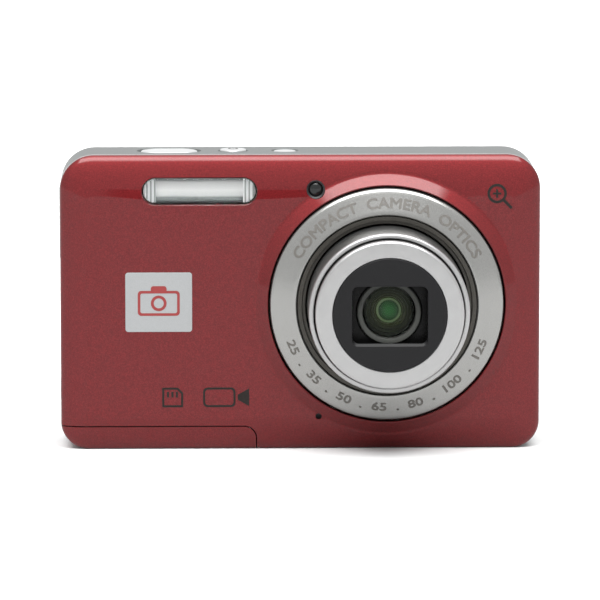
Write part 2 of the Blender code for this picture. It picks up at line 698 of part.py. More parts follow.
def make_front_details():
    x, z, radius = LAMP
    turn("af_lamp", [(0, -1.3), (radius * 0.6, -1.2), (radius, -0.8), (radius, 0.4), (0, 0.4)],
         (x, LAMP_Y, z), (0, 1, 0), "glass", 24)
    x0, x1, z0, z1 = BADGE
    plate("badge_plate", rounded(x0, x1, z0, z1, 0.5, steps=3), FRONT - BADGE_PROUD, FRONT + BADGE_SINK,
          "badge")
    near, far = MICROPHONE_Y
    x, z, _ = MICROPHONE
    cylinder("microphone", (x, near, z), (x, far, z), MICROPHONE_RADIUS, "black", 16)


def stepped_button(name, point, axis, radius, tall, flange, look, segments=24):
    """Round button: a crowned cap with a wider flange that the cover holds in."""
    wide = radius + BUTTON_FLANGE
    profile = [(0, 0), (radius - 0.5, -0.03), (radius, -0.35), (radius, flange - tall),
               (wide, flange - tall), (wide, -tall), (0, -tall)]
    button = turn(name, profile, point, axis, look, segments)
    set_origin(button, point)


def make_top_buttons():
    x, half = SHUTTER
    crown = HEIGHT + 0.1
    width = 2 * half
    flange_width = width + 2 * SHUTTER_FLANGE
    flange_depth = SHUTTER_DEPTH + 1.2
    low, high = SHUTTER_LEVELS
    sections = [level_outline(x, BUTTON_Y, flange_width, flange_depth, low),
                level_outline(x, BUTTON_Y, flange_width, flange_depth, high),
                level_outline(x, BUTTON_Y, width, SHUTTER_DEPTH, high),
                level_outline(x, BUTTON_Y, width, SHUTTER_DEPTH, crown - 0.35),
                level_outline(x, BUTTON_Y, width - 0.8, SHUTTER_DEPTH - 0.8, crown)]
    shutter = loft("shutter_button", sections, "silver", smooth=True)
    set_origin(shutter, (x, BUTTON_Y, crown))
    stepped_button("power_button", (POWER[0], BUTTON_Y, HEIGHT + 0.4), (0, 0, 1), POWER[1], 3.6, 0.9,
                   "silver")
    stepped_button("scene_button", (SCENE[0], BUTTON_Y, HEIGHT + 0.05), (0, 0, 1), SCENE[1], 3.2, 0.9,
                   "silver")


def make_rear_controls():
    for name, (x, z) in REAR_BUTTONS.items():
        stepped_button(name, (x, REAR + 0.5, z), (0, 1, 0), REAR_BUTTON_RADIUS, 3.0, 0.8, "dark_metal", 20)
    stepped_button("set_button", (PAD_X, REAR + 0.6, PAD_Z), (0, 1, 0), SET_RADIUS - 0.05, 3.2, 0.3,
                   "dark_metal", 24)
    bore = SET_RADIUS + GAP
    pad = turn("direction_pad", [(bore, 8.9), (bore, 9.9), (bore + 0.5, 10.2), (PAD_RADIUS - 0.6, 10.1),
                                 (PAD_RADIUS, 9.6), (PAD_RADIUS, 7.8), (8.9, 7.8), (8.9, 7.1),
                                 (5.0, 7.1), (5.0, 8.9)], (PAD_X, 0, PAD_Z), (0, 1, 0), "dark_metal", 32)
    set_origin(pad, (PAD_X, 8.6, PAD_Z))
    x0, x1, z0, z1 = ROCKER
    sections = [[(x, y, z) for x, z in rounded(x0 - grow, x1 + grow, z0 - grow, z1 + grow,
                                               ROCKER_CORNER + grow, steps=5)]
                for y, grow in ((7.2, 0.8), (7.9, 0.8), (7.9, 0.0), (9.8, 0.0), (10.2, -0.5))]
    rocker = loft("zoom_rocker", sections, "dark_metal")
    set_origin(rocker, ((x0 + x1) / 2, 8.6, (z0 + z1) / 2))


def make_rear_panel():
    x0, x1, z0, z1 = LCD
    plate("lcd_window", rounded(x0, x1, z0, z1, 1.5, steps=3), *LCD_GLASS_Y, "glass")
    near, far = LCD_MODULE_Y
    box("lcd_module", (x0 + LCD_MARGIN, near, z0 + LCD_MARGIN), (x1 - LCD_MARGIN, far, z1 - LCD_MARGIN),
        "black")
    x, z, radius = STATUS_LAMP
    cylinder("status_lamp", (x, REAR - 1.5, z), (x, REAR + 0.1, z), radius, "clear", 12)


def make_power_pack():
    holder = box("battery_holder", *HOLDER, "black")
    cut(holder, box("battery_bay", *BATTERY_BAY), box("card_slot", *CARD_SLOT))
    box("battery", *BATTERY, "battery", bevel=0.5)
    box("battery_contacts", *CONTACTS, "brass")
    plate("memory_card", CARD_OUTLINE, *CARD_Y, "card")
    box("card_socket", *CARD_SOCKET, "steel")


def make_electronics():
    plate("main_board", BOARD_OUTLINE, *BOARD_Y, "board")
    cylinder("flash_capacitor", *CAPACITOR, "black", 24)
    cylinder("zoom_motor", *MOTOR, "steel", 24)
    cylinder("speaker", *SPEAKER, "black", 24)
    socket = box("usb_socket", *USB_SOCKET, "steel")
    cut(socket, box("usb_mouth", *USB_MOUTH))


def make_side_pieces():
    y0, y1, z0, z1 = PORT
    outside = -HALF - PORT_PROUD
    flap = box("port_cover", (outside, y0, z0), (outside + PORT_THICKNESS, y1, z1), "grey_metal", bevel=0.3)
    set_origin(flap, (-HALF - PORT_HINGE[0], (y0 + y1) / 2, z0 + PORT_HINGE[1]))
    deep, tall = LUG_HALF
    lug = box("strap_lug", (outside, -deep, LUG_Z - tall), (LUG_PLATE_X[1] - 0.2, deep, LUG_Z + tall),
              "steel")
    half = LUG_PLATE_HALF
    foot = box("lug_foot", (LUG_PLATE_X[0], -half, LUG_Z - half), (LUG_PLATE_X[1], half, LUG_Z + half))
    weld(lug, foot)
    cut(lug, box("lug_eye", (LUG_EYE_X[0], -half, LUG_Z - LUG_EYE_HALF),
                 (LUG_EYE_X[1], half, LUG_Z + LUG_EYE_HALF)))


def make_fixings():
    for number, (point, inward) in enumerate(SCREWS, 1):
        profile = [(0, SCREW_SINK), (SCREW_HEAD, SCREW_SINK), (SCREW_HEAD, SCREW_HEAD_END),
                   (SCREW_SHANK, SCREW_HEAD_END), (SCREW_SHANK, SCREW_LENGTH), (0, SCREW_LENGTH)]
        turn(f"cover_screw_{number}", profile, point, inward, "steel", 16)
    floor = TRIPOD_DEPTH + TRIPOD_FLOOR
    turn("tripod_socket", [(TRIPOD_BORE, 0), (TRIPOD_RADIUS, 0), (TRIPOD_RADIUS, floor), (0, floor),
                           (0, TRIPOD_DEPTH), (TRIPOD_BORE, TRIPOD_DEPTH)],
         (TRIPOD_X, TRIPOD_Y, 0), (0, 0, 1), "steel", 32)


clear_scene()
make_front_cover()
make_rear_cover()
make_battery_door()
make_lens()
make_blades()
make_flash()
make_front_details()
make_top_buttons()
make_rear_controls()
make_rear_panel()
make_power_pack()
make_electronics()
make_side_pieces()
make_fixings()
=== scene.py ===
"""Looks of the compact digital camera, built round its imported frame.

Shapes are worked out in millimetres from the frame's boxes and become vertices in metres.
The front faces -Y, +X is to the right of someone looking at the lens, and +Z is up.
"""
import json
import math
from collections import namedtuple

import bmesh
import bpy
from mathutils import Matrix, Vector


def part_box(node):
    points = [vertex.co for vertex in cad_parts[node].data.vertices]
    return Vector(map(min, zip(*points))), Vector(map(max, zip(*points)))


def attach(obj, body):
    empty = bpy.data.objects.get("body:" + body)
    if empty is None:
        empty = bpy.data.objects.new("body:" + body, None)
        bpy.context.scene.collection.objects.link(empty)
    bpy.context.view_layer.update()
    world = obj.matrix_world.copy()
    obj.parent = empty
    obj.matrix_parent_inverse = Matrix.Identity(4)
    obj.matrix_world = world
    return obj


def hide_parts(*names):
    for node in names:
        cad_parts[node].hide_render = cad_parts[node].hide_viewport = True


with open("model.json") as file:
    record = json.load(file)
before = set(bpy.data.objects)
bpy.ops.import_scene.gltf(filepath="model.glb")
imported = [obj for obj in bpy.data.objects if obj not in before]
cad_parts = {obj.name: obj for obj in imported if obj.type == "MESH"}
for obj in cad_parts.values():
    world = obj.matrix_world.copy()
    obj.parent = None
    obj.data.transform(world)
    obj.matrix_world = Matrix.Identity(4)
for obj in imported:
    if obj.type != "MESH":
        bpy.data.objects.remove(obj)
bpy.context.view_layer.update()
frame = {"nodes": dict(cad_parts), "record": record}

MM = 0.001
GAP = 0.3
GROOVE = 0.22
PRINT_THICKNESS = 0.03


def span(node):
    """A node's lowest and highest corners in millimetres."""
    low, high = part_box(node)
    return low / MM, high / MM


def middle(node):
    low, high = span(node)
    return (low + high) / 2


# Places and sizes read from the frame
BODY_LOW, BODY_HIGH = span("front_cover")
HALF = (BODY_HIGH.x - BODY_LOW.x) / 2
HEIGHT = BODY_HIGH.z
REAR = span("rear_cover")[1].y
SEAM = BODY_HIGH.y
RING_LOW, RING_HIGH = span("lens_ring")
LENS_X = (RING_LOW.x + RING_HIGH.x) / 2
LENS_Z = (RING_LOW.z + RING_HIGH.z) / 2
RING_RADIUS = (RING_HIGH.x - RING_LOW.x) / 2
RING_FRONT = RING_LOW.y
RIM_FRONT = span("outer_barrel")[0].y
OUTER_BACK = span("outer_barrel")[1].y
FACE_FRONT = span("front_plate")[0].y

# Shape of the shells, as in the frame
FRONT = -9.5
TOP_RADIUS = 6.5
BASE_RADIUS = 5.3
WALL = 1.2
REAR_WALL = 1.5
SIDE_BAND = 5.3
TOP_BAND = 8.3
BASE_BAND = 6.3
BAND_DEPTH = 2.2
BAND_SLOPE = 0.5
REAR_BAND = 3.6
REAR_BAND_DEPTH = 2.6
COLLAR_RADIUS = 25.3
DOOR_CORNER = 2.3
KNUCKLES = ((-41.0, -35.0), (-19.0, -13.0))
PIN_BORE = 0.62
RING_CHAMFER = 0.65
CORNER_STEPS = 14
ROUND = 160


# ---------------------------------------------------------------- materials

def colour_ramp(tree, value, stops):
    """Colour ramp over (position, colour) stops."""
    ramp = tree.nodes.new("ShaderNodeValToRGB")
    elements = ramp.color_ramp.elements
    while len(elements) < len(stops):
        elements.new(0.5)
    for element, (position, colour) in zip(elements, stops):
        element.position = position
        element.color = (*colour, 1.0)
    tree.links.new(value, ramp.inputs["Fac"])
    return ramp.outputs["Color"]


def math_node(tree, operation, first, second=None):
    """Math node on a socket and, where there is one, a number or a second socket."""
    node = tree.nodes.new("ShaderNodeMath")
    node.operation = operation
    tree.links.new(first, node.inputs[0])
    if isinstance(second, float):
        node.inputs[1].default_value = second
    elif second is not None:
        tree.links.new(second, node.inputs[1])
    return node.outputs["Value"]


Spot = namedtuple("Spot", "x z")


class Nodes:
    """Small helper round a material's node tree."""

    def __init__(self, name):
        self.material = bpy.data.materials.new(name)
        self.material.use_nodes = True
        self.tree = self.material.node_tree
        self.shader = self.tree.nodes["Principled BSDF"]
        self.place = self.add("ShaderNodeTexCoord").outputs["Object"]

    def add(self, kind, **values):
        node = self.tree.nodes.new(kind)
        for key, value in values.items():
            setattr(node, key, value)
        return node

    def link(self, source, target):
        self.tree.links.new(source, target)

    def set(self, **values):
        for key, value in values.items():
            socket = self.shader.inputs[key.replace("_", " ")]
            if isinstance(value, tuple) and len(value) == 3:
                value = (*value, 1.0)
            socket.default_value = value

    def noise(self, scale, detail=2.0, stretch=None):
        """Noise with a scale in features per metre; stretch squeezes it along the axes."""
        texture = self.add("ShaderNodeTexNoise")
        texture.inputs["Scale"].default_value = scale
        texture.inputs["Detail"].default_value = detail
        source = self.place
        if stretch:
            mapping = self.add("ShaderNodeMapping")
            mapping.inputs["Scale"].default_value = stretch
            self.link(source, mapping.inputs["Vector"])
            source = mapping.outputs["Vector"]
        self.link(source, texture.inputs["Vector"])
        return texture.outputs["Fac"]

    def ramp(self, value, stops):
        return colour_ramp(self.tree, value, stops)

    def paint(self, colour, roughness=None):
        """Link a colour and, if given, a roughness to the shader."""
        self.link(colour, self.shader.inputs["Base Color"])
        if roughness:
            self.link(roughness, self.shader.inputs["Roughness"])

    def spread(self, value, low, high):
        """A number socket between two values, driven by a 0 to 1 input."""
        mapped = self.add("ShaderNodeMapRange")
        for socket, number in (("From Min", 0.3), ("From Max", 0.7), ("To Min", low), ("To Max", high)):
            mapped.inputs[socket].default_value = number
        self.link(value, mapped.inputs["Value"])
        return mapped.outputs["Result"]

    def bump(self, value, strength, distance):
        bump = self.add("ShaderNodeBump")
        bump.inputs["Strength"].default_value = strength
        bump.inputs["Distance"].default_value = distance
        self.link(value, bump.inputs["Height"])
        self.link(bump.outputs["Normal"], self.shader.inputs["Normal"])


def shade(colour, factor):
    return tuple(min(1.0, c * factor) for c in colour)


def grained(name, colour, roughness, metallic, scale, vary=0.08, bump=0.1, depth=0.00001,
            stretch=None, **extra):
    """Principled material with fine colour and roughness grain and a small bump."""
    nodes = Nodes(name)
    nodes.set(Metallic=metallic, **extra)
    grain = nodes.noise(scale, 3.0, stretch)
    colours = nodes.ramp(grain, [(0.3, shade(colour, 1 - vary)), (0.7, shade(colour, 1 + vary))])
    nodes.paint(colours, nodes.spread(grain, roughness * 0.9, roughness * 1.1))
    nodes.bump(grain, bump, depth)
    return nodes.material


def red_paint():
    """Metallic lacquer: fine bright flakes in a deep red under a clear coat."""
    nodes = Nodes("red_paint")
    nodes.set(Metallic=0.9, Coat_Weight=1.0, Coat_Roughness=0.03, Coat_IOR=1.32)
    flakes = nodes.noise(5200, 2.0)
    colours = nodes.ramp(flakes, [
        (0.3, (0.082, 0.0046, 0.0056)), (0.5, (0.115, 0.0066, 0.0080)), (0.7, (0.158, 0.0106, 0.0125))])
    nodes.paint(colours, nodes.spread(flakes, 0.54, 0.62))
    nodes.bump(flakes, 0.05, 0.00001)
    return nodes.material


def radial(name, stops, radius, roughness=0.07, **values):
    """Colours in rings round the lens axis, out to a radius in millimetres."""
    nodes = Nodes(name)
    nodes.set(**values)
    place = nodes.place
    for operation, value in (("SUBTRACT", (LENS_X * MM, 0, LENS_Z * MM)), ("MULTIPLY", (1, 0, 1))):
        moved = nodes.add("ShaderNodeVectorMath", operation=operation)
        moved.inputs[1].default_value = value
        nodes.link(place, moved.inputs[0])
        place = moved.outputs["Vector"]
    length = nodes.add("ShaderNodeVectorMath", operation="LENGTH")
    nodes.link(place, length.inputs[0])
    scaled = math_node(nodes.tree, "MULTIPLY", length.outputs["Value"], 1 / (radius * MM))
    nodes.paint(nodes.ramp(scaled, stops), nodes.spread(nodes.noise(900), roughness * 0.8, roughness * 1.2))
    return nodes.material


def clear_material(name, colour, roughness, ior=1.46):
    """Clear plastic or glass."""
    nodes = Nodes(name)
    nodes.set(Metallic=0.0, Transmission_Weight=1.0, IOR=ior)
    tint = nodes.ramp(nodes.noise(300), [(0.3, shade(colour, 0.985)), (0.7, colour)])
    nodes.paint(tint, nodes.spread(nodes.noise(700), roughness * 0.8, roughness * 1.2))
    return nodes.material


LOOKS = {
    "red": red_paint(),
    "grey": grained("grey_shell_paint", (0.122, 0.130, 0.129), 0.42, 0.7, 4500, 0.08, 0.05),
    "silver": grained("silver_barrel", (0.335, 0.335, 0.335), 0.34, 0.9, 2600, 0.03, 0.05,
                      stretch=(0.15, 1.0, 0.15)),
    # Silver metal darkened to stand in for the shade on the barrels' sides: painted shade.
    "barrel_side_painted_shade": grained("barrel_side_painted_shade", (0.13, 0.13, 0.128), 0.36, 0.9, 2200, 0.06, 0.08,
                           stretch=(0.2, 1.0, 0.2)),
    "ring": grained("lens_ring_satin", (0.26, 0.26, 0.252), 0.21, 0.9, 3600, 0.05, 0.05),
    "dark_metal": grained("dark_band", (0.048, 0.045, 0.039), 0.34, 0.6, 2600, 0.12, 0.05),
    "plate": grained("front_plate_black", (0.005, 0.005, 0.0055), 0.42, 0.0, 5000, 0.15, 0.15,
                     Specular_IOR_Level=0.18),
    "black": grained("black_plastic_matte", (0.010, 0.010, 0.011), 0.5, 0.0, 3200, 0.15, 0.1),
    "cell": grained("lens_cell_dark", (0.045, 0.047, 0.046), 0.3, 0.3, 2600, 0.1, 0.05),
    "glass": clear_material("front_glass", (0.90, 0.97, 0.90), 0.012, 1.13),
    "lamp": grained("lamp_lens", (0.006, 0.007, 0.007), 0.08, 0.0, 900, 0.1, 0.01,
                    Specular_IOR_Level=0.35),
    "clear": clear_material("flash_plastic", (0.98, 0.985, 0.985), 0.02, 1.16),
    "badge": grained("badge_satin", (0.25, 0.257, 0.26), 0.42, 0.35, 5200, 0.05, 0.08),
    "ink": grained("dark_print", (0.013, 0.010, 0.009), 0.5, 0.0, 5000, 0.2, 0.05,
                   Specular_IOR_Level=0.12),
    "ring_ink": grained("ring_print", (0.085, 0.080, 0.072), 0.5, 0.2, 4200, 0.12, 0.05),
    "white_ink": grained("light_print", (0.50, 0.51, 0.51), 0.5, 0.0, 4200, 0.06, 0.05),
    "red_ink": grained("red_print", (0.17, 0.012, 0.012), 0.5, 0.0, 4200, 0.06, 0.05),
    "board": grained("board_green", (0.015, 0.10, 0.05), 0.4, 0.0, 1500, 0.25, 0.3, 0.00003),
    "steel": grained("plain_steel", (0.34, 0.34, 0.335), 0.34, 1.0, 2600, 0.08, 0.1),
    "button": grained("button_satin", (0.42, 0.43, 0.43), 0.32, 0.6, 4200, 0.04, 0.05,
                      Coat_Weight=0.3, Coat_Roughness=0.1),
    "dark_button": grained("dark_button", (0.05, 0.05, 0.053), 0.34, 0.2, 4200, 0.12, 0.08),
    "screen": grained("screen_glass", (0.005, 0.0055, 0.0065), 0.06, 0.0, 500, 0.1, 0.01, 0.00002,
                      Specular_IOR_Level=0.4),
    "battery": grained("battery_wrap", (0.05, 0.055, 0.065), 0.4, 0.0, 2200, 0.15, 0.1),
    "card": grained("card_blue", (0.03, 0.06, 0.14), 0.42, 0.0, 2600, 0.12, 0.1),
    "brass": grained("contact_brass", (0.60, 0.42, 0.14), 0.28, 1.0, 2600, 0.1, 0.1),
    "tube": grained("flash_tube_glass", (0.58, 0.60, 0.60), 0.15, 0.0, 1500, 0.03, 0.02),
}

SLOT_LOOKS = {
    "red_shell": "red", "grey_shell": "grey", "silver_metal": "silver", "dark_metal": "dark_metal",
    "black_plastic": "black", "lens_glass": "lamp", "clear_plastic": "tube",
    "screen_glass": "screen", "badge_silver": "badge", "circuit_board": "board",
    "steel": "steel", "battery_wrap": "battery", "card_plastic": "card",
    "button_plastic": "button", "dark_button": "dark_button", "brass": "brass",
}


def dress_frame():
    """Give every node of the frame the procedural material of its slot."""
    slots = {entry["node"]: entry["material_slot"] for entry in frame["record"]["subparts"]}
    for name, item in frame["nodes"].items():
        item.data.materials.clear()
        item.data.materials.append(LOOKS[SLOT_LOOKS[slots[name]]])


# ---------------------------------------------------------------- shapes

def new_object(name, bm, look=None):
    bmesh.ops.remove_doubles(bm, verts=bm.verts, dist=2e-7)
    bmesh.ops.recalc_face_normals(bm, faces=bm.faces)
    mesh = bpy.data.meshes.new(name)
    bm.to_mesh(mesh)
    bm.free()
    item = bpy.data.objects.new(name, mesh)
    bpy.context.scene.collection.objects.link(item)
    if look:
        mesh.materials.append(LOOKS[look])
    return item


def bake_modifiers(item):
    """Replace the mesh by the evaluated one and drop the modifiers."""
    graph = bpy.context.evaluated_depsgraph_get()
    mesh = bpy.data.meshes.new_from_object(item.evaluated_get(graph))
    item.modifiers.clear()
    item.data = mesh


def carve(item, tools, operation="DIFFERENCE"):
    """Boolean with tools, which are used up."""
    for tool in tools:
        modifier = item.modifiers.new("carve", "BOOLEAN")
        modifier.operation = operation
        modifier.object = tool
        modifier.solver = "EXACT"
        bake_modifiers(item)
        bpy.data.objects.remove(tool, do_unlink=True)


def finish_piece(item, body, replaced=(), angle=32):
    """Shade a piece smooth by angle and attach it to its body."""
    item.data.shade_smooth()
    item.data.set_sharp_from_angle(angle=math.radians(angle))
    weight = item.modifiers.new("even_normals", "WEIGHTED_NORMAL")
    weight.keep_sharp = True
    bake_modifiers(item)
    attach(item, body)
    if replaced:
        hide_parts(*replaced)
    return item


def loft(name, sections, look=None):
    """Closed solid through sections of equal point count, capped at both ends."""
    bm = bmesh.new()
    rings = [[bm.verts.new(Vector(p) * MM) for p in section] for section in sections]
    for low, high in zip(rings, rings[1:]):
        for i in range(len(low)):
            j = (i + 1) % len(low)
            bm.faces.new((low[i], low[j], high[j], high[i]))
    bm.faces.new(rings[0])
    bm.faces.new(rings[-1])
    return new_object(name, bm, look)


def box(name, low, high, look=None, bevel=0.0):
    bm = bmesh.new()
    size = Vector(high) - Vector(low)
    centre = (Vector(high) + Vector(low)) / 2
    place = Matrix.Translation(centre * MM) @ Matrix.Diagonal((*(size * MM), 1.0))
    bmesh.ops.create_cube(bm, size=1.0, matrix=place)
    if bevel:
        bmesh.ops.bevel(bm, geom=bm.edges[:], offset=bevel * MM, segments=3, profile=0.5,
                        affect="EDGES")
    return new_object(name, bm, look)


def turn(name, profile, centre, axis, look=None, segments=ROUND):
    """Spin a closed profile of (radius, distance along axis) once round an axis."""
    bm = bmesh.new()
    axis = Vector(axis).normalized()
    side = axis.orthogonal().normalized()
    origin = Vector(centre)
    points = [bm.verts.new((origin + side * r + axis * t) * MM) for r, t in profile]
    edges = []
    for i, start in enumerate(points):
        j = (i + 1) % len(points)
        if profile[i][0] or profile[j][0]:
            edges.append(bm.edges.new((start, points[j])))
    bmesh.ops.spin(bm, geom=points + edges, cent=origin * MM, axis=axis, angle=math.tau,
                   steps=segments, use_merge=True)
    return new_object(name, bm, look)


def face_turn(name, profile, spot, look=None, segments=64):
    """Turned piece whose axis runs front to back through a spot."""
    return turn(name, profile, (spot.x, 0, spot.z), (0, 1, 0), look, segments)


def lens_turn(name, profile, look=None, segments=ROUND):
    return face_turn(name, profile, Vector((LENS_X, 0, LENS_Z)), look, segments)


def cylinder(name, start, end, radius, look=None, segments=48):
    along = Vector(end) - Vector(start)
    return turn(name, [(0, 0), (radius, 0), (radius, along.length), (0, along.length)], start, along,
                look, segments)


def flared(name, centre, radius, edge, near, deep, axis=(0, 1, 0), segments=64):
    """Cutter for a round hole with a small chamfer of width edge at its mouth."""
    return turn(name, [(0, near - 4), (radius + edge + 4, near - 4), (radius + edge, near),
                       (radius, near + edge), (radius, deep), (0, deep)], centre, axis, None, segments)


def rounded(x0, x1, z0, z1, base_radius, top_radius=None, steps=CORNER_STEPS):
    """Rounded rectangle as (x, z) points."""
    top_radius = base_radius if top_radius is None else top_radius
    corners = (
        (x1 - base_radius, z0 + base_radius, base_radius, -90),
        (x1 - top_radius, z1 - top_radius, top_radius, 0),
        (x0 + top_radius, z1 - top_radius, top_radius, 90),
        (x0 + base_radius, z0 + base_radius, base_radius, 180),
    )
    points = []
    for cx, cz, radius, start in corners:
        for step in range(steps + 1):
            angle = math.radians(start + 90 * step / steps)
            points.append((cx + radius * math.cos(angle), cz + radius * math.sin(angle)))
    return points


def bar(x0, x1, z0, z1):
    """Rectangle as (x, z) points."""
    return [(x0, z0), (x1, z0), (x1, z1), (x0, z1)]


def dome(top, curve, reach, count):
    """Profile of a cap of a sphere of radius curve, from its top out to a radius of reach."""
    radii = [reach * step / count for step in range(count + 1)]
    return [(r, top + curve - math.sqrt(curve ** 2 - r ** 2)) for r in radii]


def stack(name, outline_at, steps, look=None):
    """Solid through outlines across Y; each step holds a depth and what outline_at takes there."""
    return loft(name, [[(x, y, z) for x, z in outline_at(*values)] for y, *values in steps], look)


def plate(name, outline, y0, y1, look=None):
    return loft(name, [[(x, y, z) for x, z in outline] for y in (y0, y1)], look)


def stadium(cx, cz, width, height, steps=16):
    radius = height / 2
    return rounded(cx - width / 2, cx + width / 2, cz - radius, cz + radius, radius, steps=steps)


def pillow(name, low, high, radius, edge, look=None, steps=10, axis="y"):
    """Rounded plate whose front edge is softened by an arc; axis is the way it faces."""
    sections = []
    arc = 5
    for step in range(arc + 1):
        angle = math.pi / 2 * step / arc
        inset = edge * (1 - math.sin(angle))
        rise = edge * (1 - math.cos(angle))
        outline = rounded(low[0] + inset, high[0] - inset, low[1] + inset, high[1] - inset,
                          max(radius - inset, 0.05), steps=steps)
        sections.append((outline, low[2] + rise))
    sections.append((rounded(low[0], high[0], low[1], high[1], radius, steps=steps), high[2]))
    places = {
        "y": lambda u, v, d: (u, d, v),
        "-y": lambda u, v, d: (u, -d, v),
        "-z": lambda u, v, d: (u, v, -d),
        "x": lambda u, v, d: (d, u, v),
    }
    place = places[axis]
    return loft(name, [[place(u, v, d) for u, v in outline] for outline, d in sections], look)


def body_section(y, side, top, base, offset=0.0):
    base_radius = max(BASE_RADIUS - min(side, base) - offset, 0.5)
    top_radius = max(TOP_RADIUS - min(side, top) - offset, 0.5)
    points = rounded(side + offset - HALF, HALF - side - offset, base + offset,
                     HEIGHT - top - offset, base_radius, top_radius)
    return [(x, y, z) for x, z in points]


def front_section(t, offset=0.0, push=0.0):
    """Ring on the front surface: t is 1 at the flat middle and 0 at the body's side."""
    curve = 1 - math.sqrt(1 - (1 - t) ** 2)
    y = FRONT + BAND_SLOPE * (1 - t) + (BAND_DEPTH - BAND_SLOPE) * curve + push
    return body_section(y, t * SIDE_BAND, t * TOP_BAND, t * BASE_BAND, offset)


def rear_section(t, offset=0.0, push=0.0):
    curve = 1 - math.sqrt(1 - (1 - t) ** 2)
    inset = t * REAR_BAND
    return body_section(REAR - REAR_BAND_DEPTH * curve - push, inset, inset, inset, offset)


def eased(count):
    """Steps from 0 to 1 that are closer together near 0, where the surface turns fastest."""
    return [(step / count) ** 2 for step in range(count + 1)]


def front_shell(name, back, look):
    inner = [front_section(t, WALL * (1 - t), WALL * t + 0.4 * (1 - t)) for t in (1.0, 0.6, 0.25, 0.0)]
    rim = [body_section(back, 0, 0, 0, WALL), body_section(back, 0, 0, 0, 0.12),
           body_section(back - 0.12, 0, 0, 0)]
    outer = [front_section(t) for t in eased(18)]
    return loft(name, inner + rim + outer, look)


def door_space(name, gap):
    low, high = span("battery_door")
    right = high.x + gap
    top = high.z + gap
    radius = DOOR_CORNER + gap
    outline = [(-HALF - 5, -5), (right, -5)]
    for step in range(17):
        angle = math.radians(90 * step / 16)
        outline.append((right - radius + radius * math.cos(angle),
                        top - radius + radius * math.sin(angle)))
    outline.append((-HALF - 5, top))
    return plate(name, outline, FRONT - 3, DOOR_EDGE + gap)


PIN = middle("hinge_pin")
DOOR_EDGE = PIN.y - 2.0


def make_front_shell():
    cover = front_shell("front_shell", SEAM, "red")
    inner = RING_RADIUS + GAP
    ease = 0.25
    profile = [(21.0, -8.7), (COLLAR_RADIUS + 0.1, -8.7), (COLLAR_RADIUS + 0.1, -9.5)]
    for step in range(13):
        share = step / 12
        radius = COLLAR_RADIUS - (COLLAR_RADIUS - inner - 0.25) * share
        rise = share ** 2 / (2 * ease) if share < ease else share - ease / 2
        profile.append((radius, -9.52 - 1.24 * rise / (1 - ease / 2)))
    profile += [(inner + 0.12, -10.74), (inner, -10.62), (21.0, -10.5)]
    carve(cover, [lens_turn("collar_form", profile)], "UNION")
    bore = cylinder("bore", (LENS_X, -14, LENS_Z), (LENS_X, -5, LENS_Z), RING_RADIUS + GAP, None, ROUND)
    flash = middle("flash_window")
    low, high = span("flash_window")
    width = high.x - low.x
    height = high.z - low.z
    steps = ((-12.0, 0.9), (-9.45, 0.42), (-9.1, GROOVE), (-6.0, GROOVE))
    flash_hole = stack("flash_hole", lambda g: stadium(flash.x, flash.z, width + 2 * g, height + 2 * g),
                       steps)
    lamp = middle("af_lamp")
    sound = middle("microphone")
    holes = [
        bore, flash_hole,
        cylinder("lamp_hole", (lamp.x, -12, lamp.z), (lamp.x, -6, lamp.z), 1.78),
        cylinder("sound_hole", (sound.x, -12, sound.z), (sound.x, -6, sound.z), 0.6),
        door_space("door_hole", GROOVE),
    ]
    carve(cover, holes)
    finish_piece(cover, "camera_body", ["front_cover"])


def make_door():
    door = front_shell("door_shell", DOOR_EDGE + 2, "red")
    carve(door, [door_space("door_form", 0.0)], "INTERSECT")
    forms = []
    for start, end in KNUCKLES:
        forms.append(box("arm", (start, DOOR_EDGE - 1.2, 0.06), (end, PIN.y, 1.15)))
        forms.append(cylinder("knuckle", (start, PIN.y, PIN.z), (end, PIN.y, PIN.z), 1.0))
    carve(door, forms, "UNION")
    latch = middle("door_latch")
    slot_low, slot_high = latch.x - 3.2, latch.x + 5.4
    carve(door, [
        cylinder("bore", (-46, PIN.y, PIN.z), (-9, PIN.y, PIN.z), PIN_BORE),
        box("slot", (slot_low, latch.y - 1.8, -1), (slot_high, latch.y + 1.8, 2.4)),
    ])
    finish_piece(door, "battery_door", ["battery_door"])
    low, high = span("door_latch")
    slider = box("latch_slider", low, high, "dark_button", 0.15)
    grooves = []
    for step in range(5):
        x = low.x + 0.7 + 0.8 * step
        grooves.append(box("groove", (x, low.y - 1, -1), (x + 0.4, high.y + 1, 0.35)))
    carve(slider, grooves)
    finish_piece(slider, "door_latch", ["door_latch"])


def rear_door_cutters():
    tools = [door_space("door_hole", GROOVE)]
    for start, end in KNUCKLES:
        tools.append(box("pocket", (start - GAP, 0, -2), (end + GAP, PIN.y + 1.8, 3.0)))
    tools.append(cylinder("pin_bore", (-45.0, PIN.y, PIN.z), (-9.0, PIN.y, PIN.z), PIN_BORE))
    return tools


def make_rear_shell():
    outer = [rear_section(t) for t in reversed(eased(12))]
    lip = [body_section(SEAM + 0.42, 0, 0, 0), body_section(SEAM + 0.3, 0, 0, 0, 0.12),
           body_section(SEAM + 0.3, 0, 0, 0, 1.8), body_section(SEAM - 0.7, 0, 0, 0, 1.9),
           body_section(SEAM - 0.7, 0, 0, 0, 2.6), body_section(-4.5, 0, 0, 0, 2.6),
           body_section(-4.0, 0, 0, 0, REAR_WALL)]
    inner = [rear_section(t, REAR_WALL * (1 - t), 0.6 + 0.6 * t) for t in (0.0, 0.3, 1.0)]
    cover = loft("rear_shell", outer + lip + inner, "grey")
    boss = box("boss", (-34.4, PIN.y - 1.4, 0.1), (-19.6, PIN.y + 1.6, 2.4))
    carve(cover, [boss], "UNION")
    carve(cover, rear_door_cutters() + rear_face_cutters() + top_cutters() + side_cutters())
    finish_piece(cover, "camera_body", ["rear_cover"])


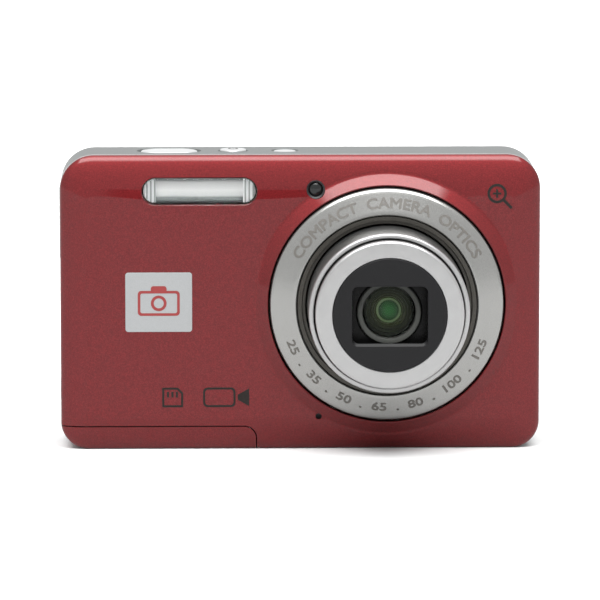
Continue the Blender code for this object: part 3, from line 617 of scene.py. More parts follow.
ROUND_BUTTONS = ("menu_button", "play_button", "info_button", "delete_button", "record_button")


def rear_hole(name, outline_at):
    """Cutter for a hole in the back with a small chamfer; outline_at gives the outline for a gap."""
    steps = ((5.0, GROOVE), (REAR - 0.2, GROOVE), (REAR + 0.05, GROOVE + 0.25), (REAR + 3, GROOVE + 0.4))
    return stack(name, outline_at, steps)


def rear_face_cutters():
    low, high = span("lcd_window")
    tools = [rear_hole("lcd_hole", lambda g: rounded(low.x - g, high.x + g, low.z - g, high.z + g,
                                                     1.5 + g, steps=8))]
    pad = middle("direction_pad")
    tools.append(flared("pad_hole", (pad.x, REAR, pad.z), 8.3, 0.25, 0, 5, (0, -1, 0), 128))
    for name in ROUND_BUTTONS:
        spot = middle(name)
        tools.append(flared("button_hole", (spot.x, REAR, spot.z), 2.45, 0.2, 0, 5, (0, -1, 0), 48))
    tools.append(rear_hole("rocker_hole", rocker_outline))
    lamp = middle("status_lamp")
    tools.append(cylinder("led_hole", (lamp.x, 5, lamp.z), (lamp.x, 12, lamp.z), 0.85))
    return tools


rocker_box = span("zoom_rocker")
ROCKER_LOW = rocker_box[0] + Vector((0.8, 0, 0.8))
ROCKER_HIGH = rocker_box[1] - Vector((0.8, 0, 0.8))
SHUTTER = middle("shutter_button")
BUTTON_Y = SHUTTER.y


def rocker_outline(g):
    low, high = ROCKER_LOW, ROCKER_HIGH
    return rounded(low.x - g, high.x + g, low.z - g, high.z + g, 2.15 + g, steps=10)


def top_cutters():
    tools = []
    steps = ((HEIGHT - 0.6, 11.8, 7.0), (HEIGHT - 0.5, 12.0, 7.3), (HEIGHT + 0.02, 12.4, 7.9),
             (HEIGHT + 1, 13.4, 8.9))
    tools.append(loft("dish", [[(a, b, z) for a, b in stadium(SHUTTER.x, BUTTON_Y, w, d)]
                               for z, w, d in steps]))
    tools.append(loft("shutter_hole", [[(a, b, z) for a, b in stadium(SHUTTER.x, BUTTON_Y, 11.3, 6.6)]
                                       for z in (HEIGHT - 3, HEIGHT + 1)]))
    for name, radius in (("power_button", 2.75), ("scene_button", 2.45)):
        spot = middle(name)
        tools.append(flared("top_hole", (spot.x, spot.y, HEIGHT), radius, 0.25, 0, 3, (0, 0, -1)))
    return tools


SCREW_NAMES = [name for name in frame["nodes"] if name.startswith("cover_screw")]


def screw_axis(name):
    """Point on the surface and inward direction of a cover screw."""
    low, high = span(name)
    spot = (low + high) / 2
    if low.z < 1 and high.z < 4:
        return Vector((spot.x, spot.y, 0)), Vector((0, 0, 1))
    if spot.x > 0:
        return Vector((HALF, spot.y, spot.z)), Vector((-1, 0, 0))
    return Vector((-HALF, spot.y, spot.z)), Vector((1, 0, 0))


def side_cutters():
    low, high = span("port_cover")
    tools = [box("port_hole", (-HALF - 2, low.y - GROOVE, low.z - GROOVE),
                 (-HALF + 2.4, high.y + GROOVE, high.z + GROOVE))]
    lug = middle("strap_lug")
    tools.append(pocket_outline(lug))
    for name in SCREW_NAMES:
        point, inward = screw_axis(name)
        tools.append(flared("screw_hole", point, 1.5, 0.15, 0, 2.4, inward, 40))
    socket = middle("tripod_socket")
    tools.append(flared("socket_hole", (socket.x, socket.y, 0), 4.8, 0.15, 0, 3, (0, 0, 1), 96))
    return tools


def pocket_outline(lug):
    """Rounded pocket round the strap lug."""
    outline = rounded(-2.6, 2.6, lug.z - 2.7, lug.z + 2.7, 1.0, steps=8)
    steps = ((-HALF - 1, 0.6), (-HALF - 0.02, 0.2), (-HALF + 0.3, 0.0), (-HALF + 2.0, 0.0))
    grown = []
    for x, g in steps:
        grown.append([(x, y + math.copysign(g, y), z + math.copysign(g, z - lug.z)) for y, z in outline])
    return loft("lug_pocket", grown)


# ---------------------------------------------------------------- lens

def ring_surface(radius):
    """Height of the lens ring's face at a radius, as a plain Y value."""
    inner, outer = 17.5, RING_RADIUS - RING_CHAMFER
    share = (radius - inner) / (outer - inner)
    return RING_FRONT + share * (-11.26 - RING_FRONT)


def make_lens_ring():
    edge = RING_RADIUS - RING_CHAMFER
    profile = [(RING_RADIUS, -8.2), (RING_RADIUS, -10.6), (RING_RADIUS - 0.14, -10.88),
               (RING_RADIUS - 0.32, -11.07), (RING_RADIUS - 0.56, -11.22)]
    for step in range(9):
        radius = edge - (edge - 17.6) * step / 8
        profile.append((radius, ring_surface(radius)))
    profile += [(17.42, RING_FRONT + 0.02), (17.25, RING_FRONT + 0.14), (17.1, RING_FRONT + 0.4),
                (17.1, -8.2)]
    finish_piece(lens_turn("lens_ring_fine", profile, "ring", 256), "camera_body",
                 ["lens_ring"])


def make_barrels():
    cam = [(16.2, -12.2), (16.2, -12.5), (16.26, -12.58), (17.0, -12.62), (17.04, -12.5), (17.04, -11.9),
           (16.8, -11.8), (16.8, 2.6), (15.6, 2.6), (15.6, -11.6), (16.1, -11.6)]
    finish_piece(lens_turn("cam_barrel_fine", cam, "dark_metal"), "cam_barrel",
                 ["cam_barrel"])
    outer = [(14.27, RIM_FRONT + 0.15), (14.3, RIM_FRONT + 0.03), (14.37, RIM_FRONT),
             (14.8, RIM_FRONT + 0.04), (15.0, RIM_FRONT + 0.14), (15.14, RIM_FRONT + 0.32),
             (15.2, RIM_FRONT + 0.6), (15.2, OUTER_BACK), (14.27, OUTER_BACK)]
    rim = lens_turn("outer_barrel_fine", outer, "barrel_side_painted_shade", 192)
    rim.data.materials.append(LOOKS["silver"])
    for face in rim.data.polygons:
        if face.center.y < (RIM_FRONT + 0.62) * MM:
            face.material_index = 1
    finish_piece(rim, "outer_barrel", ["outer_barrel"], angle=40)
    tube = [(13.1, -24.6), (14.0, -24.6), (14.0, -14.2), (13.1, -14.2)]
    finish_piece(lens_turn("inner_barrel_fine", tube, "barrel_side_painted_shade"), "inner_barrel",
                 ["inner_barrel"])
    ring = [(10.78, -24.9), (10.78, -25.8), (10.85, -25.95), (11.0, -26.0), (13.4, -25.93),
            (13.72, -25.85), (13.93, -25.68), (14.02, -25.45), (14.02, -24.9)]
    finish_piece(lens_turn("front_ring_fine", ring, "silver", 192), "inner_barrel",
                 ["front_ring"], angle=45)


def window_size():
    """Corners of the lens window, which the record lists as an opening."""
    half = Vector((7.05, 0, 5.4))
    centre = Vector((LENS_X, 0, LENS_Z))
    return centre - half, centre + half


def make_front_plate():
    low, high = window_size()
    face = lens_turn("front_plate_fine", [
        (0, FACE_FRONT), (10.5, FACE_FRONT), (10.66, FACE_FRONT + 0.06), (10.74, FACE_FRONT + 0.2),
        (10.74, FACE_FRONT + 1.3), (0, FACE_FRONT + 1.3)], "plate", 192)
    steps = ((FACE_FRONT - 1, 0.25, 1.05), (FACE_FRONT - 0.02, 0.1, 0.5), (FACE_FRONT + 0.4, 0.0, 0.0),
             (FACE_FRONT + 3, 0.0, 0.0))
    carve(face, [stack("window", lambda side, below: rounded(
        low.x - side, high.x + side, low.z - below, high.z + side, 1.2, steps=8), steps)])
    finish_piece(face, "inner_barrel", ["front_plate"])


def make_lens_group():
    cell = [(5.0, -22.0), (5.15, -22.2), (5.5, -22.29), (5.85, -22.25), (6.0, -22.1), (6.3, -21.3),
            (12.6, -21.2), (12.6, -20.2), (7.0, -20.2), (7.0, -15.0), (5.0, -15.0)]
    holder = lens_turn("lens_cell_fine", cell)
    holder.data.materials.append(radial("cell_rings", [
        (0.0, (0.004, 0.004, 0.004)), (0.70, (0.004, 0.004, 0.004)), (0.715, (0.05, 0.052, 0.048)),
        (0.86, (0.05, 0.052, 0.048)), (0.875, (0.003, 0.003, 0.003))], 7.0, 0.3, Specular_IOR_Level=0.12))
    finish_piece(holder, "inner_barrel", ["lens_cell"])
    front = dome(-21.8, 9.0, 4.65, 12) + [(4.65, -20.1), (0, -20.1)]
    glass = lens_turn("front_lens_fine", front, "glass", 96)
    finish_piece(glass, "inner_barrel", ["front_lens"])
    steps = [(2.45, -18.2), (2.45, -18.75), (2.6, -18.9), (2.95, -18.95), (3.0, -19.15), (3.5, -19.25),
             (3.55, -19.45), (4.1, -19.55), (4.15, -19.75), (4.75, -19.85), (4.75, -18.2)]
    iris = lens_turn("iris_ring_fine", steps, None, 96)
    iris.data.materials.append(radial("iris_rings", [
        (0.0, (0.02, 0.022, 0.01)), (0.49, (0.10, 0.11, 0.06)), (0.53, (0.010, 0.011, 0.003)),
        (0.64, (0.016, 0.016, 0.004)), (0.66, (0.004, 0.004, 0.002)), (0.80, (0.012, 0.012, 0.004)),
        (0.82, (0.003, 0.003, 0.002)), (0.95, (0.006, 0.006, 0.003))],
        5.0, 0.4, Specular_IOR_Level=0.15))
    finish_piece(iris, "inner_barrel", ["iris_ring"])
    eye = dome(-19.05, 6.0, 2.4, 8) + [(2.4, -18.2), (0, -18.2)]
    # Radial colours paint the lens's depth: the green centre fades into a dark band as painted shade, and
    # the bright ring near the rim is a painted reflection.
    painted_lens = lens_turn("inner_lens_fine", eye, None, 72)
    painted_lens.data.materials.append(radial("green_lens_painted_ring_and_shade", [
        (0.0, (0.020, 0.11, 0.026)), (0.35, (0.016, 0.085, 0.020)), (0.66, (0.009, 0.045, 0.011)),
        (0.74, (0.005, 0.02, 0.005)), (0.82, (0.15, 0.20, 0.11)), (0.93, (0.13, 0.17, 0.09)),
        (0.97, (0.01, 0.012, 0.004))], 2.4, 0.1, Specular_IOR_Level=0.15))
    finish_piece(painted_lens, "inner_barrel", ["inner_lens"])


# ---------------------------------------------------------------- print

def text_mesh(words, size, bold=0.0):
    """Flat letters as a mesh, in millimetres along X and Y; bold spreads copies to thicken strokes."""
    curve = bpy.data.curves.new("letters", "FONT")
    curve.body = words
    curve.size = size
    curve.extrude = PRINT_THICKNESS / 2
    curve.resolution_u = 4
    holder = bpy.data.objects.new("letters", curve)
    bpy.context.scene.collection.objects.link(holder)
    graph = bpy.context.evaluated_depsgraph_get()
    mesh = bpy.data.meshes.new_from_object(holder.evaluated_get(graph))
    bpy.data.objects.remove(holder, do_unlink=True)
    if bold:
        bm = bmesh.new()
        for copy in range(8):
            angle = math.tau * copy / 8
            first = len(bm.verts)
            bm.from_mesh(mesh)
            bm.verts.ensure_lookup_table()
            for vertex in bm.verts[first:]:
                vertex.co += Vector((bold * math.cos(angle), bold * math.sin(angle), 0.004 * copy))
        bm.to_mesh(mesh)
        bm.free()
    return mesh


def measure(mesh):
    xs = [v.co.x for v in mesh.vertices]
    ys = [v.co.y for v in mesh.vertices]
    return min(xs), max(xs), min(ys), max(ys)


def fit_text(mesh, x0, x1, z0, z1):
    """Stretch letters into a box."""
    left, right, low, high = measure(mesh)
    for vertex in mesh.vertices:
        vertex.co.x = x0 + (vertex.co.x - left) / (right - left) * (x1 - x0)
        vertex.co.y = z0 + (vertex.co.y - low) / (high - low) * (z1 - z0)


def place_print(name, mesh, place, look, body):
    """Move letters to where the function place puts (along, up, out), and attach them."""
    for vertex in mesh.vertices:
        vertex.co = Vector(place(*vertex.co)) * MM
    mesh.materials.clear()
    mesh.materials.append(LOOKS[look])
    item = bpy.data.objects.new(name, mesh)
    bpy.context.scene.collection.objects.link(item)
    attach(item, body)


def front_depth(z):
    """Y of the front surface at a height, on the flat middle or the top band."""
    t = min(1.0, (HEIGHT - z) / TOP_BAND)
    curve = 1 - math.sqrt(1 - (1 - t) ** 2)
    return FRONT + BAND_SLOPE * (1 - t) + (BAND_DEPTH - BAND_SLOPE) * curve


def arc_text(name, words, size, start, end, radius, below):
    """Letters on the lens ring from one angle to another, measured clockwise from the top."""
    mesh = text_mesh(words, size, 0.028 * size)
    left, right, low, high = measure(mesh)
    tall = high - low

    def place(along, up, out):
        share = (along - left) / (right - left)
        angle = math.radians(start + (end - start) * share)
        rise = up - low - tall / 2
        r = radius - rise if below else radius + rise
        x = LENS_X + r * math.sin(angle)
        z = LENS_Z + r * math.cos(angle)
        return (x, ring_surface(r) - 0.015 - out, z)

    place_print(name, mesh, place, "ring_ink", "camera_body")


PRINT_DEPTHS = (FRONT - PRINT_THICKNESS, FRONT + 0.05)


def flat_print(name, outline, look, inner=None):
    """Thin printed shape on the flat front, with an optional hole."""
    item = plate(name, outline, *PRINT_DEPTHS, look)
    if inner:
        carve(item, [plate("inner", inner, FRONT - 1, FRONT + 1)])
    finish_piece(item, "camera_body")


def make_prints():
    arc_text("ring_print_upper", "COMPACT  CAMERA  OPTICS", 2.7, -62, 62, 19.6, False)
    arc_text("ring_print_lower", "25  .  35  .  50  .  65  .  80  .  100  .  125", 2.2, 250, 110, 19.6, True)
    make_magnifier_print()
    card = [(-26.4, 8.3), (-22.4, 8.3), (-22.4, 11.1), (-23.4, 12.1), (-26.4, 12.1)]
    hole = [(-26.0, 8.7), (-22.8, 8.7), (-22.8, 10.9), (-23.6, 11.7), (-26.0, 11.7)]
    flat_print("card_print", card, "ink", hole)
    for step in range(3):
        x = -25.5 + step * 0.85
        flat_print(f"card_contact_{step}", bar(x, x + 0.4, 10.2, 11.3), "ink")
    flat_print("video_print", rounded(-18.6, -12.4, 8.3, 12.1, 0.9, steps=8), "ink",
               rounded(-18.2, -12.8, 8.7, 11.7, 0.6, steps=8))
    flat_print("video_print_lens", [(-12.0, 9.7), (-9.8, 8.5), (-9.8, 11.9), (-12.0, 10.7)], "ink")


def make_magnifier_print():
    """Magnifying glass with a plus sign, printed where the front curves back."""
    x, z = 37.4, 49.2
    ring = face_turn("magnifier_print", bar(1.35, 1.85, *PRINT_DEPTHS), Vector((x, 0, z)), "ink")
    handle = plate("magnifier_handle", [(x + 1.1, z - 1.5), (x + 1.5, z - 1.1), (x + 3.0, z - 2.6),
                                        (x + 2.6, z - 3.0)], *PRINT_DEPTHS, "ink")
    cross = plate("magnifier_cross", bar(x - 0.8, x + 0.8, z - 0.2, z + 0.2), *PRINT_DEPTHS, "ink")
    upright = plate("magnifier_upright", bar(x - 0.2, x + 0.2, z - 0.8, z + 0.8), *PRINT_DEPTHS)
    carve(cross, [upright], "UNION")
    for item in (ring, handle, cross):
        for vertex in item.data.vertices:
            vertex.co.y += (front_depth(vertex.co.z / MM) - FRONT) * MM
        finish_piece(item, "camera_body")


# ---------------------------------------------------------------- front details

def make_flash():
    low, high = span("flash_window")
    centre = (low + high) / 2
    width, height = high.x - low.x, high.z - low.z
    steps = ((-9.45, 0.45), (-9.4, 0.2), (-9.28, 0.05), (-9.1, 0.0), (-8.6, 0.0))
    window = stack("flash_window_fine", lambda g: stadium(centre.x, centre.z, width - 2 * g, height - 2 * g),
                   steps, "clear")
    finish_piece(window, "camera_body", ["flash_window"])
    make_flash_inside(centre, width, height)


def rib_shading_material():
    """Frosted plastic whose fine upright ribs are only light and dark stripes in the colour: painted shading
    of the ribs, with no relief.
    """
    nodes = Nodes("flash_painted_rib_shading")
    wave = nodes.add("ShaderNodeTexWave")
    wave.inputs["Scale"].default_value = 420
    wave.inputs["Distortion"].default_value = 0.3
    nodes.link(nodes.place, wave.inputs["Vector"])
    # Light and dark stripes stand in for the light and shade across the ribs: painted shading.
    tones = nodes.ramp(wave.outputs["Fac"], [(0.15, (0.20, 0.215, 0.21)), (0.55, (0.56, 0.575, 0.57))])
    nodes.paint(tones)
    nodes.set(Roughness=0.3)
    return nodes.material


def make_flash_inside(centre, width, height):
    """Trough reflector with finned ends behind the window, and the tube along it; the trough is painted
    darker towards its bottom and top edges as painted shade.
    """
    nodes = Nodes("flash_reflector_painted_shade")
    nodes.set(Metallic=0.35)
    parts = nodes.add("ShaderNodeSeparateXYZ")
    nodes.link(nodes.place, parts.inputs["Vector"])
    scaled = nodes.add("ShaderNodeMapRange")
    scaled.inputs["From Min"].default_value = (centre.z - height / 2) * MM
    scaled.inputs["From Max"].default_value = (centre.z + height / 2) * MM
    nodes.link(parts.outputs["Z"], scaled.inputs["Value"])
    # Colours over height paint shade: darker at the bottom of the trough and in a thin band at its top,
    # lighter across the middle.
    colours = nodes.ramp(scaled.outputs["Result"], [
        (0.0, (0.03, 0.035, 0.035)), (0.20, (0.06, 0.07, 0.068)), (0.29, (0.38, 0.39, 0.385)),
        (0.5, (0.56, 0.565, 0.56)), (0.86, (0.46, 0.47, 0.465)), (0.93, (0.08, 0.09, 0.088))])
    nodes.paint(colours, nodes.spread(nodes.noise(900), 0.42, 0.5))
    section = [(-4.7, 2.2), (-4.7, -2.2), (-8.35, -2.2)]
    for step in range(17):
        angle = math.radians(-90 + 180 * step / 16)
        section.append((-8.35 + 0.9 * math.cos(angle), 2.0 * math.sin(angle)))
    section.append((-8.35, 2.2))
    half = width / 2 - 2.4
    ends = [[(centre.x + side * half, y, centre.z + h) for y, h in section] for side in (-1, 1)]
    trough = loft("flash_trough", ends)
    trough.data.materials.append(nodes.material)
    finish_piece(trough, "camera_body", ["flash_reflector"])
    tube = cylinder("flash_tube_fine", (centre.x - half + 0.2, -6.9, centre.z - 1.9),
                    (centre.x + half - 0.2, -6.9, centre.z - 1.9), 0.2, "tube")
    finish_piece(tube, "camera_body", ["flash_tube"])
    # The ends' ribs are painted shading: light and dark stripes in the colour.
    ribs = rib_shading_material()
    for side in (-1, 1):
        fins = []
        for step in range(5):
            x = centre.x + side * (half + 0.15 + 0.42 * step)
            past = max(0, abs(x - centre.x) - width / 2 + height / 2)
            reach = math.sqrt(max(0.2, (height / 2) ** 2 - past ** 2)) - 0.15
            fins.append(box("fin", (x - 0.14, -8.5, centre.z - reach), (x + 0.14, -7.2, centre.z + reach)))
        outline = stadium(centre.x, centre.z, width - 0.3, height - 0.3)
        base = plate(f"flash_end_{'left' if side < 0 else 'right'}", outline, -8.0, -7.0)
        base.data.materials.append(ribs)
        keep = sorted((centre.x + side * (half + 0.05), centre.x + side * (half + 6)))
        carve(base, [box("keep", (keep[0], -10, 0), (keep[1], 0, HEIGHT))], "INTERSECT")
        carve(base, fins, "UNION")
        finish_piece(base, "camera_body")


def make_front_details():
    lamp = middle("af_lamp")
    profile = dome(-9.2, 2.4, 1.42, 8) + [(1.42, -8.3), (0, -8.3)]
    finish_piece(face_turn("af_lamp_fine", profile, lamp, "lamp"), "camera_body", ["af_lamp"])
    ring = face_turn("af_lamp_ring", [(1.44, -9.2), (1.72, -9.45), (1.76, -9.35), (1.76, -8.0),
                                      (1.44, -8.0)], lamp, "black")
    finish_piece(ring, "camera_body")
    low, high = span("badge_plate")
    badge = pillow("badge_fine", (low.x, low.z, FRONT - 0.06), (high.x, high.z, FRONT + 0.3), 0.55, 0.05,
                   "badge")
    finish_piece(badge, "camera_body", ["badge_plate"])
    make_badge_icon((low + high) / 2)


def make_badge_icon(centre):
    """Plain camera pictogram printed on the badge."""
    level = FRONT - 0.06

    def part(name, half, low, high, corner, depths, steps=6, look=None):
        outline = rounded(centre.x - half, centre.x + half, centre.z + low, centre.z + high, corner,
                          steps=steps)
        return plate(name, outline, *depths, look)

    thin = (level - PRINT_THICKNESS, level + 0.1)
    icon = part("badge_icon", 4.0, -2.6, 2.2, 0.7, thin, look="red_ink")
    carve(icon, [part("bump", 1.5, 1.0, 3.1, 0.5, thin, 4)], "UNION")
    hole = part("hole", 3.5, -2.1, 1.7, 0.4, (level - 1, level + 1))
    carve(icon, [hole])
    finish_piece(icon, "camera_body")
    lens = turn("badge_icon_lens", bar(0.95, 1.5, -0.03, 0.1), (centre.x, level, centre.z - 0.2), (0, 1, 0),
                "red_ink", 64)
    finish_piece(lens, "camera_body")


# ---------------------------------------------------------------- controls

def crowned(name, node, radius, top, axis, look, crown=0.12, edge=0.25):
    """Round button cap with a slightly domed face and a soft edge, replacing a CAD node."""
    spot = middle(node)
    low, high = span(node)
    direction = Vector(axis)
    point = Vector(spot)
    way = [i for i in range(3) if direction[i]][0]
    point[way] = top
    tall = (high - low)[way]
    profile = []
    for step in range(8):
        r = (radius - edge) * step / 7
        profile.append((r, -crown * (r / radius) ** 2))
    for step in range(1, 5):
        angle = math.pi / 2 * step / 4
        profile.append((radius - edge + edge * math.sin(angle), -crown - edge * (1 - math.cos(angle))))
    profile += [(radius, -tall + 0.8), (radius + 0.7, -tall + 0.8), (radius + 0.7, -tall), (0, -tall)]
    return turn(name, profile, point, axis, look, 64)


def make_top_buttons():
    low, high = span("shutter_button")
    sections = []
    width, depth = 10.9, 6.2
    for z, grow_x, grow_y in ((low.z, 1.4, 1.2), (low.z + 0.9, 1.4, 1.2), (low.z + 0.9, 0.0, 0.0),
                              (high.z - 0.55, 0.0, 0.0), (high.z - 0.32, -0.06, -0.06),
                              (high.z - 0.16, -0.22, -0.22), (high.z - 0.06, -0.6, -0.6),
                              (high.z - 0.01, -1.4, -1.4), (high.z, -2.6, -2.4)):
        sections.append([(a, b, z) for a, b in stadium(SHUTTER.x, BUTTON_Y, width + grow_x,
                                                       depth + grow_y)])
    finish_piece(loft("shutter_button_fine", sections, "button"), "shutter_button",
                 ["shutter_button"], angle=40)
    for name, radius in (("power_button", 2.5), ("scene_button", 2.2)):
        top = span(name)[1].z
        cap = crowned(name + "_fine", name, radius, top, (0, 0, 1), "button")
        finish_piece(cap, name, [name], angle=40)
    power_mark()


def power_mark():
    """Broken ring and bar printed on the power button."""
    spot = middle("power_button")
    top = span("power_button")[1].z
    mark = turn("power_mark", bar(0.75, 0.95, -0.03, 0.02), (spot.x, spot.y, top), (0, 0, 1), "ink", 48)
    carve(mark, [box("gap", (spot.x - 0.3, spot.y, top - 1), (spot.x + 0.3, spot.y + 2, top + 1))])
    carve(mark, [box("bar", (spot.x - 0.09, spot.y + 0.15, top - 0.03),
                     (spot.x + 0.09, spot.y + 1.05, top + 0.02))], "UNION")
    finish_piece(mark, "power_button")


def rocker_print(name, letter, cx, cz, wide):
    """Letter on the zoom rocker, read from behind."""
    tall, level = 1.5, 10.2
    mesh = text_mesh(letter, tall, 0.03 * tall)
    fit_text(mesh, -wide / 2, wide / 2, -tall / 2, tall / 2)
    place_print(name, mesh, lambda along, up, out: (cx - along, level + 0.01 + out, cz + up), "white_ink",
                "zoom_rocker")


def mark_loop(name, spot, outline, depth, body):
    """A thin flat mark on a rear button, from (x, z) offsets."""
    points = [(spot.x + x, spot.z + z) for x, z in outline]
    finish_piece(plate(name, points, depth - 0.1, depth + 0.02, "white_ink"), body)


def make_rear_buttons():
    for name in ROUND_BUTTONS:
        high = span(name)[1]
        cap = crowned(name + "_fine", name, 2.2, high.y, (0, 1, 0), "dark_button")
        finish_piece(cap, name, [name], angle=40)
    high = span("set_button")[1]
    cap = crowned("set_button_fine", "set_button", 3.25, high.y, (0, 1, 0), "dark_button", 0.1, 0.3)
    finish_piece(cap, "set_button", ["set_button"], angle=40)
    pad = middle("direction_pad")
    profile = [(3.6, 8.9), (3.6, 9.75), (3.75, 9.98), (4.1, 10.12), (4.6, 10.16), (5.8, 10.06),
               (7.0, 10.12), (7.5, 10.06), (7.85, 9.86), (8.0, 9.5), (8.0, 7.8), (8.9, 7.8), (8.9, 7.1),
               (5.0, 7.1), (5.0, 8.9)]
    ring = face_turn("direction_pad_fine", profile, pad, "dark_button", 128)
    finish_piece(ring, "direction_pad", ["direction_pad"], angle=45)
    triangle = [(-0.55, -0.35), (0.55, -0.35), (0.0, 0.5)]
    for step in range(4):
        angle = math.radians(90 * step)
        turned = [(x * math.cos(angle) - z * math.sin(angle), x * math.sin(angle) + z * math.cos(angle))
                  for x, z in triangle]
        spot = Spot(pad.x - 5.8 * math.sin(angle), pad.z + 5.8 * math.cos(angle))
        mark_loop(f"pad_arrow_{step}", spot, turned, 10.08, "direction_pad")
    make_rocker()
    make_button_marks()


def make_rocker():
    steps = ((7.2, 0.8), (7.9, 0.8), (7.9, 0.0), (9.5, 0.0), (9.85, -0.08), (10.05, -0.3), (10.17, -0.7),
             (10.2, -1.3))
    rocker = stack("zoom_rocker_fine", rocker_outline, steps, "dark_button")
    finish_piece(rocker, "zoom_rocker", ["zoom_rocker"], angle=40)
    centre = (ROCKER_LOW + ROCKER_HIGH) / 2
    rocker_print("rocker_wide", "W", centre.x + 3.6, centre.z, 1.7)
    rocker_print("rocker_tele", "T", centre.x - 3.6, centre.z, 1.3)


def make_button_marks():
    high = span("play_button")[1].y
    marks = [("play_mark", "play", [(0.55, -0.7), (0.55, 0.7), (-0.75, 0.0)])]
    for step in range(3):
        z = -0.65 + 0.65 * step
        marks.append((f"menu_mark_{step}", "menu", bar(-0.8, 0.8, z - 0.1, z + 0.1)))
    marks += [
        ("info_stem", "info", bar(-0.14, 0.14, -0.9, 0.3)),
        ("info_dot", "info", bar(-0.16, 0.16, 0.6, 0.92)),
        ("delete_bin", "delete", [(-0.45, -0.85), (0.45, -0.85), (0.6, 0.4), (-0.6, 0.4)]),
        ("delete_lid", "delete", bar(-0.75, 0.75, 0.55, 0.72)),
    ]
    for name, button, outline in marks:
        mark_loop(name, middle(button + "_button"), outline, high, button + "_button")
    record = middle("record_button")
    dot = turn("record_dot", bar(0, 0.75, -0.05, 0.03), (record.x, high, record.z), (0, 1, 0), "red_ink", 40)
    finish_piece(dot, "record_button")


def make_rear_panel():
    low, high = span("lcd_window")
    window = pillow("lcd_window_fine", (low.x, low.z, -high.y), (high.x, high.z, -low.y), 1.5, 0.3,
                    "screen", axis="-y")
    finish_piece(window, "camera_body", ["lcd_window"])
    frame_low = (low.x + 1.6, low.z + 1.6)
    frame_high = (high.x - 1.6, high.z - 1.6)
    outline = rounded(frame_low[0], frame_high[0], frame_low[1], frame_high[1], 0.4, steps=4)
    inner = rounded(frame_low[0] + 0.15, frame_high[0] - 0.15, frame_low[1] + 0.15, frame_high[1] - 0.15,
                    0.3, steps=4)
    edge = plate("screen_edge", outline, high.y - 0.05, high.y + 0.01, "cell")
    carve(edge, [plate("inner", inner, 0, 20)])
    finish_piece(edge, "camera_body")
    for row in range(4):
        for column in range(5):
            x = -42.0 + 1.3 * column + 0.65 * (row % 2)
            z = 28.0 + 1.3 * row
            if x < -39.0:
                dot = turn(f"grip_dot_{row}_{column}", [(0, 0.22), (0.25, 0.2), (0.42, 0.08), (0.45, -0.3),
                                                        (0, -0.3)], (x, REAR - 0.12, z), (0, 1, 0),
                           "grey", 20)
                finish_piece(dot, "camera_body", angle=60)


# ---------------------------------------------------------------- sides and base

def make_side_pieces():
    low, high = span("port_cover")
    flap = pillow("port_cover_fine", (low.y, low.z, low.x), (high.y, high.z, high.x), 0.7, 0.35, "grey",
                  axis="x")
    finish_piece(flap, "port_cover", ["port_cover"])
    lug = frame["nodes"]["strap_lug"]
    lug.data.shade_smooth()
    lug.data.set_sharp_from_angle(angle=math.radians(30))
    for name in SCREW_NAMES:
        make_screw(name)
    socket = middle("tripod_socket")
    profile = [(3.0, 0.5), (3.35, 0.0), (4.5, 0.0), (4.6, 0.12), (4.6, 6.2), (0, 6.2), (0, 5.5), (3.0, 5.5)]
    for step in range(9):
        level = 5.2 - step * 0.55
        profile += [(3.0, level), (3.25, level - 0.27)]
    finish_piece(turn("tripod_socket_fine", profile, (socket.x, socket.y, 0), (0, 0, 1), "steel", 96),
                 "camera_body", ["tripod_socket"], angle=25)


def make_screw(name):
    point, inward = screw_axis(name)
    head = turn(name + "_fine", [(0, 0.15), (1.05, 0.15), (1.25, 0.25), (1.3, 0.42), (1.3, 1.1),
                                 (0.8, 1.1), (0.8, 2.5), (0, 2.5)], point, inward, "steel", 48)
    along = inward.orthogonal().normalized()
    across = inward.cross(along)
    tools = []
    for direction, other in ((along, across), (across, along)):
        size = direction * 0.75 + other * 0.16 + inward * 0.45
        size = Vector([abs(v) for v in size])
        centre = point + inward * 0.2
        tools.append(box("cross", centre - size, centre + size))
    carve(head, tools)
    finish_piece(head, "camera_body", [name])


# ---------------------------------------------------------------- studio

SKY_PEAK = 14.0
BACK_SKY = ((0.0, 1.1), (0.70, 1.1), (0.93, 1.4), (1.0, 3.0))
SOFTBOX_SKY = ((0.0, 1.0), (0.62, 1.1), (0.71, 14.0), (0.88, 14.0), (0.94, 5.0), (1.0, 4.0))
STRIP_SKY = ((0.0, 0.04), (0.095, 0.04), (0.115, 1.0)) + SOFTBOX_SKY[1:]
SOFTBOX_SPREAD = (0.0, 0.42, 0.50)
STRIP_SPREAD = (0.018, 0.030, 0.032)


def sky_ramp(tree, height, stops):
    """Grey levels up the sky, as shares of the brightest, which the world's strength brings back."""
    return colour_ramp(tree, height, [(position, (level / SKY_PEAK,) * 3) for position, level in stops])


def front_patch(tree, parts, centre, full, none):
    """1 for directions in front within full of centre, in X, fading to 0 at none."""
    aside = math_node(tree, "ABSOLUTE", math_node(tree, "SUBTRACT", parts.outputs["X"], centre))
    fade = tree.nodes.new("ShaderNodeMapRange")
    for socket, value in (("From Min", full), ("From Max", none), ("To Min", 1.0), ("To Max", 0.0)):
        fade.inputs[socket].default_value = value
    tree.links.new(aside, fade.inputs["Value"])
    ahead = math_node(tree, "LESS_THAN", parts.outputs["Y"], 0.0)
    return math_node(tree, "MULTIPLY", fade.outputs["Result"], ahead)


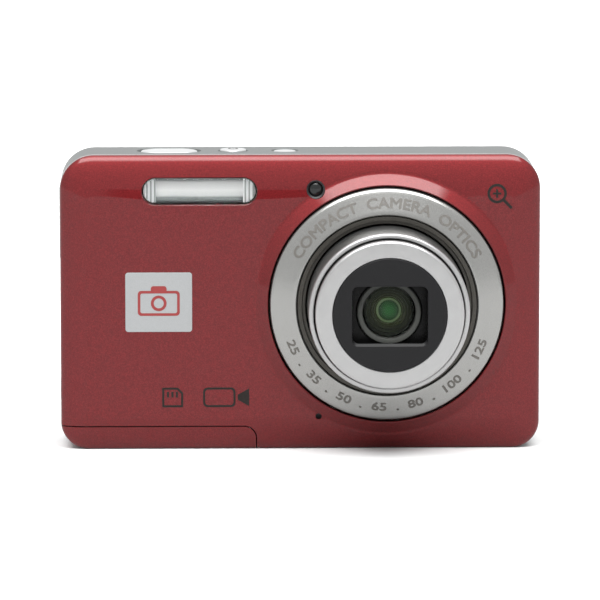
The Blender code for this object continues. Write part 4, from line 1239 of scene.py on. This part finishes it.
def make_studio():
    """Pale floor under an even sky with a wide soft light high in front and a dim strip low in front."""
    floor = box("floor", (-20000, -20000, -10), (20000, 20000, 0))
    floor.location.z = -0.00002
    nodes = Nodes("floor_pale")
    nodes.paint(nodes.ramp(nodes.noise(3), [(0.3, (0.555,) * 3), (0.7, (0.565,) * 3)]))
    nodes.set(Roughness=0.9, Specular_IOR_Level=0.0)
    floor.data.materials.append(nodes.material)

    world = bpy.data.worlds.new("studio")
    bpy.context.scene.world = world
    world.use_nodes = True
    tree = world.node_tree
    coordinates = tree.nodes.new("ShaderNodeTexCoord")
    parts = tree.nodes.new("ShaderNodeSeparateXYZ")
    tree.links.new(coordinates.outputs["Generated"], parts.inputs["Vector"])
    sky = sky_ramp(tree, parts.outputs["Z"], BACK_SKY)
    for stops, spread in ((SOFTBOX_SKY, SOFTBOX_SPREAD), (STRIP_SKY, STRIP_SPREAD)):
        mix = tree.nodes.new("ShaderNodeMix")
        mix.data_type = "RGBA"
        tree.links.new(front_patch(tree, parts, *spread), mix.inputs["Factor"])
        tree.links.new(sky, mix.inputs["A"])
        tree.links.new(sky_ramp(tree, parts.outputs["Z"], stops), mix.inputs["B"])
        sky = mix.outputs["Result"]
    tree.links.new(sky, tree.nodes["Background"].inputs["Color"])
    tree.nodes["Background"].inputs["Strength"].default_value = SKY_PEAK
    bpy.context.scene.view_settings.view_transform = "Standard"


DISTANCE = 1000.0
EYE_RISE = 0.1388
EYE_SIDE = 0.040
PIXELS_PER_MM = 5.25
PICTURE_WIDTH = 600


def make_camera():
    """Long lens, a little above the lens axis and a little to its left."""
    data = bpy.data.cameras.new("view")
    data.sensor_width = 36.0
    eye = Vector((LENS_X - EYE_SIDE * DISTANCE, FRONT - DISTANCE, LENS_Z + EYE_RISE * DISTANCE))
    target = Vector((-0.1, FRONT, 28.9))
    reach = (eye - target).length
    data.lens = data.sensor_width * reach / (PICTURE_WIDTH / PIXELS_PER_MM)
    data.clip_start = 0.01
    data.clip_end = 100
    camera = bpy.data.objects.new("view", data)
    camera.location = eye * MM
    camera.rotation_mode = "QUATERNION"
    camera.rotation_quaternion = (target - eye).to_track_quat("-Z", "Y")
    bpy.context.scene.collection.objects.link(camera)
    bpy.context.scene.camera = camera


make_camera()
make_studio()
dress_frame()
make_front_shell()
make_door()
make_rear_shell()
make_lens_ring()
make_barrels()
make_front_plate()
make_lens_group()
make_prints()
make_flash()
make_front_details()
make_top_buttons()
make_rear_buttons()
make_rear_panel()
make_side_pieces()
